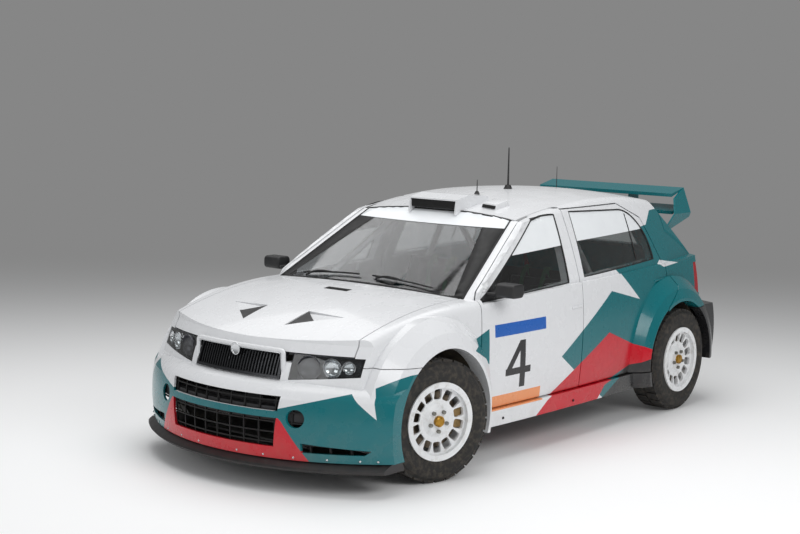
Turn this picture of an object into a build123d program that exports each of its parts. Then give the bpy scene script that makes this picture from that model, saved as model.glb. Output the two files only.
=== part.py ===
from build123d import *
import functools
import math
import os

# A five-door rally hatchback, standing on its wheels with the front ones steered to the right.
# Millimetres. +X points to the front, +Y to the car's left, +Z up. The origin lies on the ground
# under the middle of the car's length and width.

# Overall sizes
length = 4002.0
width = 1770.0
roof_height = 1400.0
wheelbase = 2462.0
front_overhang = 830.0
half_width = width / 2
x_front_axle = length / 2 - front_overhang
x_rear_axle = x_front_axle - wheelbase
front_end = length / 2
rear_end = -length / 2
overrun = 400.0

# Body sections: half widths and heights of the flank and of the cabin sides
flank_half_width = 823.0
flank_height = 620.0
flank_bow_radius = 16000.0
flank_bow_centre_x = -100.0
sill_half_width = 835.0
sill_bottom = 200.0
sill_top = 296.0
door_foot_half_width = 812.0
door_bottom = 300.0
belt_half_width = 792.0
cabin_belt_half_width = 777.0
cabin_belt_height = 930.0
cabin_foot_half_width = 785.0
cabin_foot_height = 862.0
cabin_top_half_width = 608.0
cabin_top_height = 1305.0
cabin_bow_radius = 10000.0
cabin_bow_centre_x = -250.0
crown_radius = 4500.0
hood_crown_radius = 9000.0
cant_rail_radius = 62.0
fender_edge_radius = 58.0

# Body profile on the middle line
hood_front_height = 742.0
cowl_height = 925.0
cowl_x = 850.0
header_x = 158.0
header_height = 1314.0
roof_peak_x = -560.0
roof_rear_x = -1478.0
roof_rear_height = 1338.0
tail_glass_foot_x = -1900.0
tail_glass_foot_height = 950.0
tail_x = -1938.0
tail_bow_radius = 1700.0
nose_bow_radius = 1560.0
nose_foot_x = 1852.0
nose_top_x = 1776.0
grille_foot_height = 552.0
bumper_bow_radius = 1262.0
bumper_face_x = 1978.0
bumper_bottom = 172.0
bumper_roll_height = 478.0
bumper_shoulder_height = 520.0
bumper_top = 640.0
rear_bumper_bottom = 285.0
rear_bumper_top = 640.0

# Walls and gaps
panel_gap = 7.0
side_wall = 60.0
roof_wall = 26.0
skin = 14.0
glass_inset = 5.0
glass_thickness = 6.0
seat_gap = 0.3
trim_gap = 4.0
floor_wall = 22.0
jamb_gap = 17.0
jamb_depth = 23.0
jamb_overlap = 34.0
seam = 0.8
liner = 20.0
seal_width = 12.0

# Wheels
tyre_radius = 325.0
tyre_width = 205.0
tyre_wall = 14.0
bead_radius = 193.0
tread_depth = 9.0
tread_block_count = 28
tread_groove = 12.0
tread_row_width = 74.0
rim_flange_radius = 207.0
rim_flange_width = 9.0
rim_barrel_radius = 186.0
rim_barrel_wall = 9.0
rim_face_depth = 24.0
rim_face_thickness = 20.0
spoke_count = 14
spoke_window_outer = 168.0
spoke_window_inner = 112.0
spoke_width = 15.0
hub_radius = 62.0
hub_cap_radius = 30.0
hub_cap_height = 12.0
disc_radius = 150.0
disc_thickness = 28.0
disc_plane_x = 22.0
stub_radius = 24.0
arch_radius = 378.0
flare_lip_radius = 396.0
flare_middle_radius = 455.0
flare_foot_radius = 530.0
flare_middle_half_width = 860.0
flare_foot_half_width = 785.0
wheelhouse_inner_front = 470.0
wheelhouse_inner_rear = 590.0
tyre_side_inset = 5.0
wheel_centre_y = half_width - tyre_side_inset - tyre_width / 2
kingpin_inset = 60.0
kingpin_y = wheel_centre_y - kingpin_inset
parked_steer_deg = 15.0

# Front doors, from the flank's shut lines. Shares as (wheelbase behind the front axle, roof height)
door_front_x = 775.0
door_front_kink_z = 560.0
door_front_top_x = 752.0
b_pillar_foot_x = -185.0
b_pillar_belt_x = -215.0
b_pillar_top_x = -245.0
door_top_z = 1332.0
door_rail_shares = ((0.331, 0.885), (0.540, 0.959))
belt_door_front_z = 885.0
rear_door_top_x = -905.0
rear_door_shoulder = (-1150.0, 1225.0)
rear_door_waist = (-1262.0, 960.0)
rear_door_heel = (-1282.0, 800.0)
hinge_inset = 16.0

# Side windows, as shares of the same
front_window_shares = ((0.178, 0.626), (0.338, 0.861), (0.540, 0.930), (0.519, 0.656))
rear_window_shares = ((0.587, 0.669), (0.606, 0.936), (0.843, 0.922), (0.925, 0.850), (0.950, 0.692))

# Hood, grille and lamps
hood_half_width = 655.0
hood_wall = 22.0
hood_rear_x = 846.0
hood_rear_corner_x = 800.0
vent_centre_x = 1534.0
vent_centre_y = 275.0
vent_length = 190.0
vent_width = 250.0
grille_top_half_width = 296.0
grille_foot_half_width = 302.0
grille_top_z = 690.0
grille_foot_z = 556.0
grille_border = 14.0
grille_wall = 34.0
slat_count = 29
slat_width = 7.0
slat_depth = 20.0
lamp_inner_y = 352.0
lamp_outer_y = 712.0
lamp_top_z = 684.0
lamp_foot_z = 557.0
lamp_outer_foot_z = 597.0
lamp_back_x = 1560.0
lamp_depth = 70.0

# Front bumper and splitter
intake_half_width = 388.0
intake_top_z = 490.0
intake_foot_z = 233.0
blade_height = 34.0
blade_z = 398.0
side_slot_inner_y = 500.0
side_slot_outer_y = 806.0
side_slot_top_z = 264.0
side_slot_foot_z = 216.0
round_port_y = 472.0
round_port_z = 385.0
round_port_radius = 46.0
bumper_wall = 14.0
bumper_return_x = 1600.0
splitter_bow_radius = 1275.0
splitter_foot_z = 122.0
splitter_half_width = 868.0
splitter_rear_x = 1500.0
grille_mesh_inset = bumper_wall + seat_gap
grille_mesh_thickness = 8.0
mesh_bar = 7.0
mesh_rows = 6
mesh_columns = 18

# Screens, roof and tail
screen_foot_half_width = 690.0
screen_top_half_width = 520.0
pillar_width = 44.0
screen_foot_x = 868.0
roof_half_width = 556.0
roof_front_x = 140.0
roof_back_x = -1455.0
scoop_length = 330.0
scoop_half_width = 178.0
scoop_height = 62.0
scoop_nose_x = 215.0
scoop_wall = 10.0
tailgate_top_half_width = 520.0
tailgate_waist_half_width = 655.0
tailgate_foot_half_width = 610.0
tailgate_foot_z = 652.0
tailgate_front_x = -1462.0
tailgate_ear_x = -1620.0
tailgate_ear_y = 643.0
rear_glass_top_half_width = 470.0
rear_glass_foot_half_width = 585.0
rear_glass_top_z = 1290.0
rear_glass_foot_z = 975.0
tail_lamp_top_z = 905.0
tail_lamp_foot_z = 700.0
tail_lamp_front_x = -1700.0
tail_lamp_depth = 60.0
rear_bumper_wall = 16.0
rear_bumper_bow_radius = 1900.0

# Wing on the tailgate
wing_span = 1060.0
wing_nose_x = -1712.0
wing_tail_x = -1872.0
wing_nose_z = 1338.0
wing_tail_z = 1384.0
wing_thickness = 22.0
wing_lower_drop = 118.0
wing_plate_thickness = 12.0
wing_stay_y = 190.0
wing_plate_spread = 62.0

# Underbody and running gear
rail_inner_y = 380.0
rail_outer_y = 440.0
rail_bottom_z = 300.0
rail_top_z = 400.0
rail_front_x = 1690.0
fender_rail_y = 704.0
beam_half_width = 560.0
beam_inset = grille_mesh_inset + grille_mesh_thickness + seat_gap
firewall_x = 800.0
firewall_half_width = 686.0
floor_rear_x = -930.0
floor_half_width = 735.0
boot_floor_z = 408.0
boot_half_width = 548.0
boot_rear_x = -1880.0
ball_joint_radius = 12.0
knuckle_eye_radius = 26.0
knuckle_low_z = 205.0
knuckle_high_z = 445.0
knuckle_eye_height = 34.0
axle_stub_clearance = 0.4
strut_y = 622.0
strut_radius = 22.0
strut_top_z = tyre_radius + arch_radius - 4 * seat_gap
arm_width = 46.0
arm_height = 24.0
beam_radius = 36.0
caliper_length = 104.0
caliper_depth = 74.0
caliper_width = 62.0
caliper_overhang = 12.0
caliper_gap = 6.0

subframe_length = 300.0
engine_rear_x = 900.0
engine_length = 420.0
engine_half_width = 340.0
engine_height = 330.0
exhaust_radius = 60.0
mirror_x = 625.0
mirror_y = 870.0
mirror_z = 952.0
mirror_depth = 108.0
mirror_width = 122.0
mirror_height = 76.0
wiper_x = 792.0
wiper_left_y = 470.0
wiper_right_y = -60.0
wiper_length = 430.0
wiper_width = 14.0
# Aerials as (place, base radius, rod height)
aerial_table = ((-566.0, 32.0, 235.0), (-237.0, 18.0, 70.0), (-1120.0, 14.0, 150.0))

# Inside the cabin
# Seat side outline as shares of the back height, from the hip point
seat_shares = ((-0.30, 0.0), (0.50, 0.0), (0.62, 0.28), (0.40, 0.32), (0.08, 0.34), (-0.16, 1.0),
               (-0.30, 0.98),
               (-0.26, 0.30))
seat_inner_shares = ((-0.10, 0.13), (0.56, 0.20), (0.70, 0.30), (0.40, 0.45), (0.08, 0.60), (-0.02, 1.10),
                     (-0.20, 1.10), (-0.24, 0.90))
seat_y = 360.0
seat_hip_x = -250.0
seat_width = 500.0
seat_wall = 22.0
seat_back_height = 690.0
cage_radius = 20.0
hoop_x = -520.0
wheel_rim_radius = 172.0
wheel_rim_tube = 15.0
wheel_spoke_count = 3
dash_rear_x = 470.0
dash_half_width = 536.0
dash_top_z = 880.0

# Steering and opening limits, in degrees


def along(x_share, z_share):
    """A point of the side view: shares of the wheelbase behind the front axle, and of the roof height."""
    return (x_front_axle - x_share * wheelbase, z_share * roof_height)


def across(y_share, z_share):
    """A point of the front view: shares of the half width and of the roof height."""
    return (y_share * half_width, z_share * roof_height)


def polygon(points):
    return Polygon(*points, align=None)


def side_prism(sketch, y_low, y_high):
    """The side-view outline, carried from y_low to y_high."""
    middle = Plane.XZ.offset(-(y_low + y_high) / 2)
    return extrude(middle * sketch, amount=(y_high - y_low) / 2, both=True)


def plan_prism(sketch, z_low, z_high):
    middle = Plane.XY.offset((z_low + z_high) / 2)
    return extrude(middle * sketch, amount=(z_high - z_low) / 2, both=True)


def front_prism(sketch, x_low, x_high):
    """The front-view outline, carried from x_low to x_high."""
    middle = Plane.YZ.offset((x_low + x_high) / 2)
    return extrude(middle * sketch, amount=(x_high - x_low) / 2, both=True)


def block(x_low, x_high, y_low, y_high, z_low, z_high):
    size = (x_high - x_low, y_high - y_low, z_high - z_low)
    return Pos((x_low + x_high) / 2, (y_low + y_high) / 2, (z_low + z_high) / 2) * Box(*size)


def mirrored(shape):
    return mirror(shape, Plane.XZ)


def both_sides(shape):
    return shape + mirrored(shape)


def swing(sketch, axis, degrees):
    """The sketch turned about the axis through so many degrees, half of them each way."""
    return revolve(sketch.rotate(axis, -degrees / 2), axis, degrees)


def tube(points, radius):
    """Round tube along straight runs, with a ball at each joint."""
    made = None
    for low, high in zip(points, points[1:]):
        run = Vector(*high) - Vector(*low)
        piece = extrude(Plane(Vector(*low), z_dir=run) * Circle(radius), amount=run.length)
        made = piece if made is None else made + piece
    for point in points[1:-1]:
        made = made + Pos(*point) * Sphere(radius)
    return made


# Body forms. Each takes how far it lies inside the outer skin.

def bowed_sides(sketch, bow_radius, half_width_there, centre_x, degrees):
    """Both flanks, bowed in plan, from one cross-section of the left one."""
    placed = Plane.YZ.offset(centre_x) * sketch
    axis = Axis((centre_x, half_width_there - bow_radius, 0), (0, 0, 1))
    left = swing(placed, axis, degrees)
    return left & mirrored(left)


@functools.cache
def flank_form(inset):
    inner = -width
    floor_line = min(sill_bottom + inset * (inset > skin), sill_top - skin)
    foot = (door_foot_half_width - inset, door_bottom)
    waist = (flank_half_width - inset, flank_height)
    belt = (belt_half_width - inset, cabin_belt_height)
    low_bend = (flank_half_width - inset - 1.0 * seat_gap, (door_bottom + flank_height) / 2)
    high_bend = ((flank_half_width + belt_half_width) / 2 + side_wall / 8 - inset,
                 (flank_height + cabin_belt_height) / 2)
    sill = sill_half_width - inset
    edges = [
        Line((inner, floor_line), (sill, floor_line)),
        Line((sill, floor_line), (sill, sill_top)),
        Line((sill, sill_top), foot),
        ThreePointArc(foot, low_bend, waist),
        ThreePointArc(waist, high_bend, belt),
        Line(belt, (belt[0], roof_height)),
        Line((belt[0], roof_height), (inner, roof_height)),
        Line((inner, roof_height), (inner, floor_line)),
    ]
    spread = 2.4 * math.degrees(math.asin((length / 2 - flank_bow_centre_x) / flank_bow_radius))
    return bowed_sides(make_face(edges), flank_bow_radius, flank_half_width, flank_bow_centre_x, spread)


def crowned(sketch, radius, height):
    """A side-view profile turned about an axis far below, which gives the panels their crown."""
    axis = Axis((0, 0, height - radius), (1, 0, 0))
    spread = 2 * math.degrees(math.asin(width * 2 / 3 / (radius - height)))
    return swing(Plane.XZ * sketch, axis, spread)


@functools.cache
def hood_line_form(inset):
    front = (front_end + overrun, hood_front_height - overrun / 2)
    tip = (nose_top_x, hood_front_height - inset)
    cowl = (cowl_x, cowl_height - inset)
    back = (rear_end - overrun, cabin_belt_height + side_wall - inset)
    edges = [
        Line((back[0], 0), (front[0], 0)),
        Line((front[0], 0), front),
        Line(front, tip),
        TangentArc(cowl, tip, tangent=(cowl[0] - back[0], cowl[1] - back[1])),
        Line(cowl, back),
        Line(back, (back[0], 0)),
    ]
    return crowned(make_face(edges), hood_crown_radius, cowl_height)


@functools.cache
def nose_form(inset):
    centre = nose_foot_x - nose_bow_radius
    foot = (nose_foot_x - inset, grille_foot_height)
    brow = (nose_top_x - inset, hood_front_height)
    bulge = ((foot[0] + brow[0]) / 2 + skin / 2, (foot[1] + brow[1]) / 2)
    over = (nose_top_x - overrun / 4 - inset, roof_height)
    edges = [
        Line((centre, sill_bottom / 2), (foot[0], sill_bottom / 2)),
        Line((foot[0], sill_bottom / 2), foot),
        ThreePointArc(foot, bulge, brow),
        Line(brow, over),
        Line(over, (centre, roof_height)),
        Line((centre, roof_height), (centre, sill_bottom / 2)),
    ]
    quarter_turns = 2 * math.degrees(math.asin(half_width / nose_bow_radius) * 1.3)
    bow = swing(Plane.XZ * make_face(edges), Axis((centre, 0, 0), (0, 0, 1)), quarter_turns)
    behind = block(rear_end - overrun, x_front_axle, -width, width, 0, roof_height)
    return bow + behind


@functools.cache
def tail_form(inset):
    centre = tail_x + tail_bow_radius
    foot = (tail_x + inset, rear_bumper_top)
    waist = (tail_x + (tail_glass_foot_x - tail_x) / 3 + inset,
             (rear_bumper_top + tail_glass_foot_height) / 2)
    ledge = (tail_glass_foot_x + inset, tail_glass_foot_height)
    top = (roof_rear_x + inset, roof_rear_height)
    slope = (top[0] - ledge[0]) / (top[1] - ledge[1])
    over = (top[0] + slope * overrun / 4, top[1] + overrun / 4)
    edges = [
        Line((centre, 0), (foot[0], 0)),
        Line((foot[0], 0), foot),
        ThreePointArc(foot, waist, ledge),
        Line(ledge, over),
        Line(over, (centre, over[1])),
        Line((centre, over[1]), (centre, 0)),
    ]
    spread = 2 * math.degrees(math.asin(half_width * 1.3 / tail_bow_radius))
    bow = swing(Plane.XZ * make_face(edges), Axis((centre, 0, 0), (0, 0, 1)), spread)
    return bow + block(x_rear_axle, front_end + overrun, -width, width, 0, roof_height + overrun)


@functools.cache
def cabin_form(inset):
    inner = -width
    slope = (cabin_belt_half_width - cabin_top_half_width) / (cabin_top_height - cabin_belt_height)
    low = (cabin_foot_half_width - inset, cabin_foot_height - max(inset, 0))
    belt = (cabin_belt_half_width - inset, cabin_belt_height)
    high = (cabin_top_half_width - slope * overrun / 3 - inset, cabin_top_height + overrun / 3)
    bend = ((belt[0] + high[0]) / 2 + skin, (belt[1] + high[1]) / 2)
    edges = [
        Line((inner, low[1]), low),
        Line(low, belt),
        ThreePointArc(belt, bend, high),
        Line(high, (inner, high[1])),
        Line((inner, high[1]), (inner, low[1])),
    ]
    spread = 2.4 * math.degrees(math.asin((length / 2 - cabin_bow_centre_x) / cabin_bow_radius))
    sides = bowed_sides(make_face(edges), cabin_bow_radius, cabin_belt_half_width, cabin_bow_centre_x, spread)
    drop = inset * roof_wall / side_wall
    screen_slope = (header_height - cowl_height) / (cowl_x - header_x)
    foot_x = cowl_x + overrun / 2 - inset / 2
    screen_foot = (foot_x, cowl_height - screen_slope * overrun / 2 - drop)
    header = (header_x - inset / 3, header_height - drop)
    rear_edge = (roof_rear_x, roof_rear_height - drop)
    rear = (rear_end - overrun, roof_rear_height - overrun / 8 - drop)
    profile = [
        Line((rear[0], low[1]), (foot_x, low[1])),
        Line((foot_x, low[1]), screen_foot),
        Line(screen_foot, header),
        ThreePointArc(header, (roof_peak_x, roof_height - drop), rear_edge),
        Line(rear_edge, rear),
        Line(rear, (rear[0], low[1])),
    ]
    top = crowned(make_face(profile), crown_radius, roof_height)
    rounded = sides & top
    if inset == 0:
        rails = [e for e in rounded.edges() if e.length > 2 * overrun
                 and e.center().Z > cabin_belt_height + side_wall and abs(e.center().Y) > seat_y]
        rounded = fillet(rails, cant_rail_radius)
    return rounded & tail_form(inset)


@functools.cache
def lower_form(inset):
    """The lower body out to its skin, with rounded front fenders."""
    sides = flank_form(inset) & hood_line_form(inset)
    cut = block(cowl_x - overrun / 2, front_end, -width, width, 0, roof_height)
    front = sides & cut
    edges = [e for e in front.edges() if e.length > overrun and e.center().Z > hood_front_height
             and abs(e.center().Y) > hood_half_width and e.center().Z < cowl_height]
    edges = [e for e in edges if abs(e.start_point().Y - e.end_point().Y) < overrun]
    if inset < fender_edge_radius / 2:
        front = fillet(edges, fender_edge_radius - inset)
    rear = sides & block(rear_end - overrun, cowl_x - overrun / 2, -width, width, 0, roof_height)
    return (front & nose_form(inset)) + (rear & tail_form(inset))


@functools.cache
def body_form(inset):
    return lower_form(inset) + cabin_form(inset)


def wheel_cylinder(axle_x, radius, y_low, y_high):
    return Pos(axle_x, (y_low + y_high) / 2, tyre_radius) * (
        Rot(90, 0, 0) * Cylinder(radius, y_high - y_low))


def arch_flare(axle_x):
    """Ring round a left wheel opening that leans in from the lip to the flank."""
    inner = flare_foot_half_width - side_wall
    outline = [(arch_radius, inner), (arch_radius, half_width), (flare_lip_radius, half_width),
               (flare_middle_radius, flare_middle_half_width), (flare_foot_radius, flare_foot_half_width),
               (flare_foot_radius, inner)]
    sketch = Plane.YZ * polygon([(y, radius) for radius, y in outline])
    ring = revolve(sketch, Axis((0, 0, 0), (0, 1, 0)), 360)
    return Pos(axle_x, 0, tyre_radius) * ring


def front_door_outline(grow):
    """Closed outline of the front door in the side view, grown by so much all round."""
    rail = [along(x, z) for x, z in door_rail_shares]
    edges = [
        Line((door_front_x + grow, door_bottom - grow), (door_front_x + grow, door_front_kink_z)),
        Line((door_front_x + grow, door_front_kink_z), (door_front_top_x + grow, belt_door_front_z + grow)),
        ThreePointArc((door_front_top_x + grow, belt_door_front_z + grow),
                      (rail[0][0] + grow, rail[0][1] + grow), (rail[1][0], door_top_z + grow)),
        Line((rail[1][0], door_top_z + grow), (b_pillar_top_x - grow, door_top_z + grow)),
        Line((b_pillar_top_x - grow, door_top_z + grow), (b_pillar_belt_x - grow, cabin_belt_height)),
        Line((b_pillar_belt_x - grow, cabin_belt_height), (b_pillar_foot_x - grow, door_bottom - grow)),
        Line((b_pillar_foot_x - grow, door_bottom - grow), (door_front_x + grow, door_bottom - grow)),
    ]
    return make_face(edges)


def rear_door_outline(grow):
    gap = panel_gap - grow
    points = [(b_pillar_foot_x - gap, door_bottom - grow), (b_pillar_belt_x - gap, cabin_belt_height),
              (b_pillar_top_x - gap, door_top_z - panel_gap + grow),
              (rear_door_top_x, door_top_z - panel_gap + grow),
              (rear_door_shoulder[0] - grow, rear_door_shoulder[1] + grow),
              (rear_door_waist[0] - grow, rear_door_waist[1]), (rear_door_heel[0] - grow, rear_door_heel[1]),
              (x_rear_axle + arch_radius / 2 - grow, door_bottom + arch_radius - grow / 2),
              (x_rear_axle + arch_radius / 2 - grow, door_bottom - grow)]
    return polygon(points)


def door_prism(outline):
    return side_prism(outline, cabin_top_half_width - overrun / 2, width)


def window_prism(shares, grow=0):
    corners = [along(x, z) for x, z in shares]
    edges = []
    if len(corners) == 4:
        edges = [ThreePointArc(*corners[:3]), Line(corners[2], corners[3]), Line(corners[3], corners[0])]
    else:
        edges = [Line(corners[0], corners[1]), Line(corners[1], corners[2]), ThreePointArc(*corners[2:]),
                 Line(corners[4], corners[0])]
    face = make_face(edges)
    if grow:
        face = offset(face, grow)
    return door_prism(face)


def doors():
    """Front and rear left doors as thick shells with their windows cut, and the panes in them."""
    shell = (body_form(0) - body_form(side_wall)) & block(rear_end, front_end, 0, width, 0, roof_height)
    pane = cabin_form(glass_inset) - cabin_form(glass_inset + glass_thickness)
    arch = wheel_cylinder(x_rear_axle, arch_radius + 2 * panel_gap, 0, width)
    above = screen_core(panel_gap) + plan_prism(roof_outline(panel_gap), cabin_top_height - overrun / 4,
                                                roof_height + overrun)
    made = {}
    for name, outline, shares in (("front", front_door_outline(0), front_window_shares),
                                  ("rear", rear_door_outline(0), rear_window_shares)):
        made[name + "_door"] = ((shell & door_prism(outline)) - window_prism(shares)) - above
        made[name + "_door_glass"] = (pane & window_prism(shares)) - above
    flare = (arch_flare(x_rear_axle) & door_prism(rear_door_outline(0))) - body_form(skin)
    made["rear_door"] = (made["rear_door"] + flare) - arch
    return made


def left_half():
    return block(rear_end - overrun, front_end + overrun, 0, width, 0, roof_height + overrun)


def roof_outline(grow):
    back = roof_half_width * cabin_top_half_width / (cabin_top_half_width + side_wall)
    return polygon([(roof_front_x + grow, -roof_half_width - grow),
                    (roof_front_x + grow, roof_half_width + grow),
                    (roof_peak_x, roof_half_width + grow), (roof_back_x - grow, back + grow),
                    (roof_back_x - grow, -back - grow), (roof_peak_x, -roof_half_width - grow)])


def screen_outline(grow, top=header_height - panel_gap):
    """Front view of the windscreen opening, up to a chosen height."""
    foot = cabin_foot_height
    lean = (screen_foot_half_width - screen_top_half_width) / (header_height - foot)
    top_half = screen_foot_half_width - lean * (top - foot)
    return polygon([(-screen_foot_half_width - grow, foot), (screen_foot_half_width + grow, foot),
                    (top_half + grow, top), (-top_half - grow, top)])


def screen_core(grow):
    """What lies between the windscreen pillars, seen from the front."""
    return front_prism(screen_outline(pillar_width + grow, roof_height + side_wall),
                       header_x - 2 * side_wall, front_end)


def tailgate_outline(grow):
    """Rear view of the tailgate."""
    half = [(tailgate_foot_half_width + grow, tailgate_foot_z - grow),
            (tailgate_waist_half_width + grow, cabin_belt_height),
            (tailgate_top_half_width + grow, roof_height + overrun)]
    return polygon([(-y, z) for y, z in reversed(half)] + half)


def tailgate_prism(grow):
    return front_prism(tailgate_outline(grow), rear_end - overrun, tailgate_front_x + grow)


def lamp_outline(grow):
    return polygon([(lamp_inner_y - grow, lamp_foot_z - grow), (lamp_inner_y - grow, lamp_top_z + grow),
                    (lamp_outer_y + grow, lamp_top_z + grow),
                    (lamp_outer_y + grow, lamp_outer_foot_z - grow)])


def lamp_prism(grow):
    return both_sides(front_prism(lamp_outline(grow), lamp_back_x - grow, front_end))


def tail_lamp_prism(grow):
    inner = tailgate_foot_half_width + panel_gap - grow
    return both_sides(block(rear_end - overrun, tail_lamp_front_x + grow, inner, width,
                            tail_lamp_foot_z - grow, tail_lamp_top_z + grow)
                      - tailgate_prism(panel_gap - grow))


def hood_outline(grow):
    """Plan of the hood and its grille."""
    half = [(front_end, hood_half_width + grow), (hood_rear_corner_x - grow, hood_half_width + grow)]
    edges = [
        Line((half[0][0], -half[0][1]), half[0]),
        Line(half[0], half[1]),
        ThreePointArc(half[1], (hood_rear_x - grow, 0), (half[1][0], -half[1][1])),
        Line((half[1][0], -half[1][1]), (half[0][0], -half[0][1])),
    ]
    return make_face(edges)


def grille_outline(grow):
    return polygon([(-grille_foot_half_width - grow, grille_foot_z - grow),
                    (grille_foot_half_width + grow, grille_foot_z - grow),
                    (grille_top_half_width + grow, grille_top_z + grow),
                    (-grille_top_half_width - grow, grille_top_z + grow)])


def grille_prism(grow):
    return front_prism(grille_outline(grow), x_front_axle + arch_radius, front_end)


def hood_prism(grow):
    """All that lifts with the hood: down to the lamps' tops and the grille's foot."""
    above = plan_prism(hood_outline(grow), lamp_top_z + panel_gap - grow, cowl_height + side_wall)
    return above + grille_prism(grow)


def fender_rear_prism(grow):
    """Everything ahead of the front doors."""
    top = belt_door_front_z + (roof_height - belt_door_front_z)
    outline = polygon([(door_front_x + panel_gap - grow, 0),
                       (door_front_x + panel_gap - grow, door_front_kink_z),
                       (door_front_top_x + panel_gap - grow, belt_door_front_z), (door_front_top_x, top),
                       (front_end + overrun, top), (front_end + overrun, 0)])
    return side_prism(outline, -width, width)


def bumper_cut_prism(grow):
    """Everything below the front bumper's upper shut line."""
    outline = polygon([(x_front_axle, 0), (front_end + overrun, 0), (front_end + overrun, bumper_top + grow),
                       (lamp_back_x + overrun / 4, bumper_top + grow),
                       (x_front_axle, bumper_top - skin + grow)])
    return side_prism(outline, -width, width)


def rear_bumper_prism(grow):
    return block(rear_end - overrun, x_rear_axle, -width, width, 0, rear_bumper_top + grow)


@functools.cache
def skin_shell():
    return lower_form(0) - lower_form(skin)


def front_fender():
    """Left fender: outer skin ahead of the door with its wheel opening and flare."""
    region = left_half() & fender_rear_prism(0)
    panel = skin_shell() & region
    flare = arch_flare(x_front_axle) & region
    panel = panel + (flare - lower_form(skin))
    for cut in (hood_prism(panel_gap), lamp_prism(seam), bumper_cut_prism(trim_gap)):
        panel = panel - cut
    panel = panel - block(rear_end, front_end, 0, width, 0, sill_bottom)
    screen = front_prism(screen_outline(panel_gap), cowl_x - overrun / 2, front_end)
    panel = panel - (screen & cabin_form(0))
    panel = panel - wheel_cylinder(x_front_axle, arch_radius, 0, width)
    return max(panel.solids(), key=lambda solid: solid.volume)


def bumper_form(inset):
    """Bow of the front bumper, from its flat foot up to the roll under the grille and lamps."""
    centre = bumper_face_x - bumper_bow_radius
    face = bumper_face_x - inset
    low = face - skin
    edges = [
        Line((centre, bumper_bottom), (low, bumper_bottom)),
        ThreePointArc((low, bumper_bottom), (face, (bumper_bottom + bumper_roll_height) / 2),
                      (low, bumper_roll_height)),
        ThreePointArc((low, bumper_roll_height), (face - side_wall, bumper_shoulder_height + skin - inset),
                      (nose_foot_x - skin - inset, grille_foot_z - panel_gap - inset)),
        Line((nose_foot_x - skin - inset, grille_foot_z - panel_gap - inset),
             (centre, grille_foot_z - panel_gap - inset)),
        Line((centre, grille_foot_z - panel_gap - inset), (centre, bumper_bottom)),
    ]
    turn = 2.2 * math.degrees(math.asin(half_width / bumper_bow_radius))
    bow = swing(Plane.XZ * make_face(edges), Axis((centre, 0, 0), (0, 0, 1)), turn)
    sides = block(x_front_axle, front_end, inset - half_width, half_width - inset, 0, roof_height)
    return bow & sides


def front_bumper():
    """Bumper skin with its centre intake, side slots and two round ports."""
    outer = bumper_form(0) + (lower_form(0) & bumper_cut_prism(0))
    outer = outer + both_sides(arch_flare(x_front_axle) & bumper_cut_prism(0))
    inner = bumper_form(bumper_wall) + (lower_form(bumper_wall) & bumper_cut_prism(-bumper_wall))
    shell = (outer - inner) & block(x_front_axle + arch_radius / 2, front_end, -width, width, bumper_bottom,
                                    roof_height)
    shell = shell - lamp_prism(seam) - grille_prism(panel_gap)
    intake = front_prism(polygon([(-intake_half_width, intake_top_z), (intake_half_width, intake_top_z),
                                  (intake_half_width - 2 * skin, intake_foot_z),
                                  (2 * skin - intake_half_width, intake_foot_z)]), bumper_return_x, front_end)
    middle = (side_slot_top_z + side_slot_foot_z) / 2
    slot = front_prism(polygon([(side_slot_inner_y, side_slot_foot_z), (side_slot_inner_y, side_slot_top_z),
                                (side_slot_outer_y, middle),
                                (side_slot_outer_y - 2 * skin, side_slot_foot_z)]),
                       bumper_return_x, front_end)
    port = Pos(bumper_return_x, round_port_y, round_port_z) * (
        Rot(0, 90, 0) * Cylinder(round_port_radius, overrun * 2))
    shell = shell - intake - both_sides(slot) - both_sides(port)
    blade = block(bumper_return_x, front_end, -intake_half_width - skin, intake_half_width + skin,
                  blade_z - blade_height / 2, blade_z + blade_height / 2)
    shell = shell + ((bumper_form(0) & blade) - bumper_form(bumper_wall))
    shell = shell - both_sides(wheel_cylinder(x_front_axle, arch_radius, 0, width))
    return max(shell.solids(), key=lambda solid: solid.volume)


def intake_grille():
    """Bars behind the bumper's openings, joined into one curved grid."""
    plate = bumper_form(grille_mesh_inset) - bumper_form(grille_mesh_inset + grille_mesh_thickness)
    reach = side_slot_outer_y
    band = block(bumper_return_x, front_end, -reach, reach, bumper_bottom + 2 * skin, intake_top_z + skin)
    plate = plate & band
    pitch_y = 2 * reach / mesh_columns
    pitch_z = (intake_top_z - bumper_bottom) / mesh_rows
    holes = [Pos(bumper_face_x - overrun / 2, -reach + (column + 1 / 2) * pitch_y,
                 bumper_bottom + 2 * skin + (row + 1 / 2) * pitch_z)
             * Box(overrun * 2, pitch_y - mesh_bar, pitch_z - mesh_bar)
             for column in range(mesh_columns) for row in range(mesh_rows)]
    return plate - holes


def splitter():
    """Flat lip under the front bumper."""
    centre = front_end - splitter_bow_radius
    profile = polygon([(centre, splitter_foot_z), (front_end - skin, splitter_foot_z),
                       (front_end, splitter_foot_z + skin),
                       (front_end - skin / 2, bumper_bottom - 2 * skin),
                       (bumper_face_x - 2 * skin, bumper_bottom - seat_gap),
                       (centre, bumper_bottom - seat_gap)])
    turn = 2.2 * math.degrees(math.asin(half_width / splitter_bow_radius))
    lip = swing(Plane.XZ * profile, Axis((centre, 0, 0), (0, 0, 1)), turn)
    keep = block(splitter_rear_x, front_end, -splitter_half_width, splitter_half_width, 0, roof_height)
    lip = lip & keep
    return lip - both_sides(wheel_cylinder(x_front_axle, arch_radius, 0, width))


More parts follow.
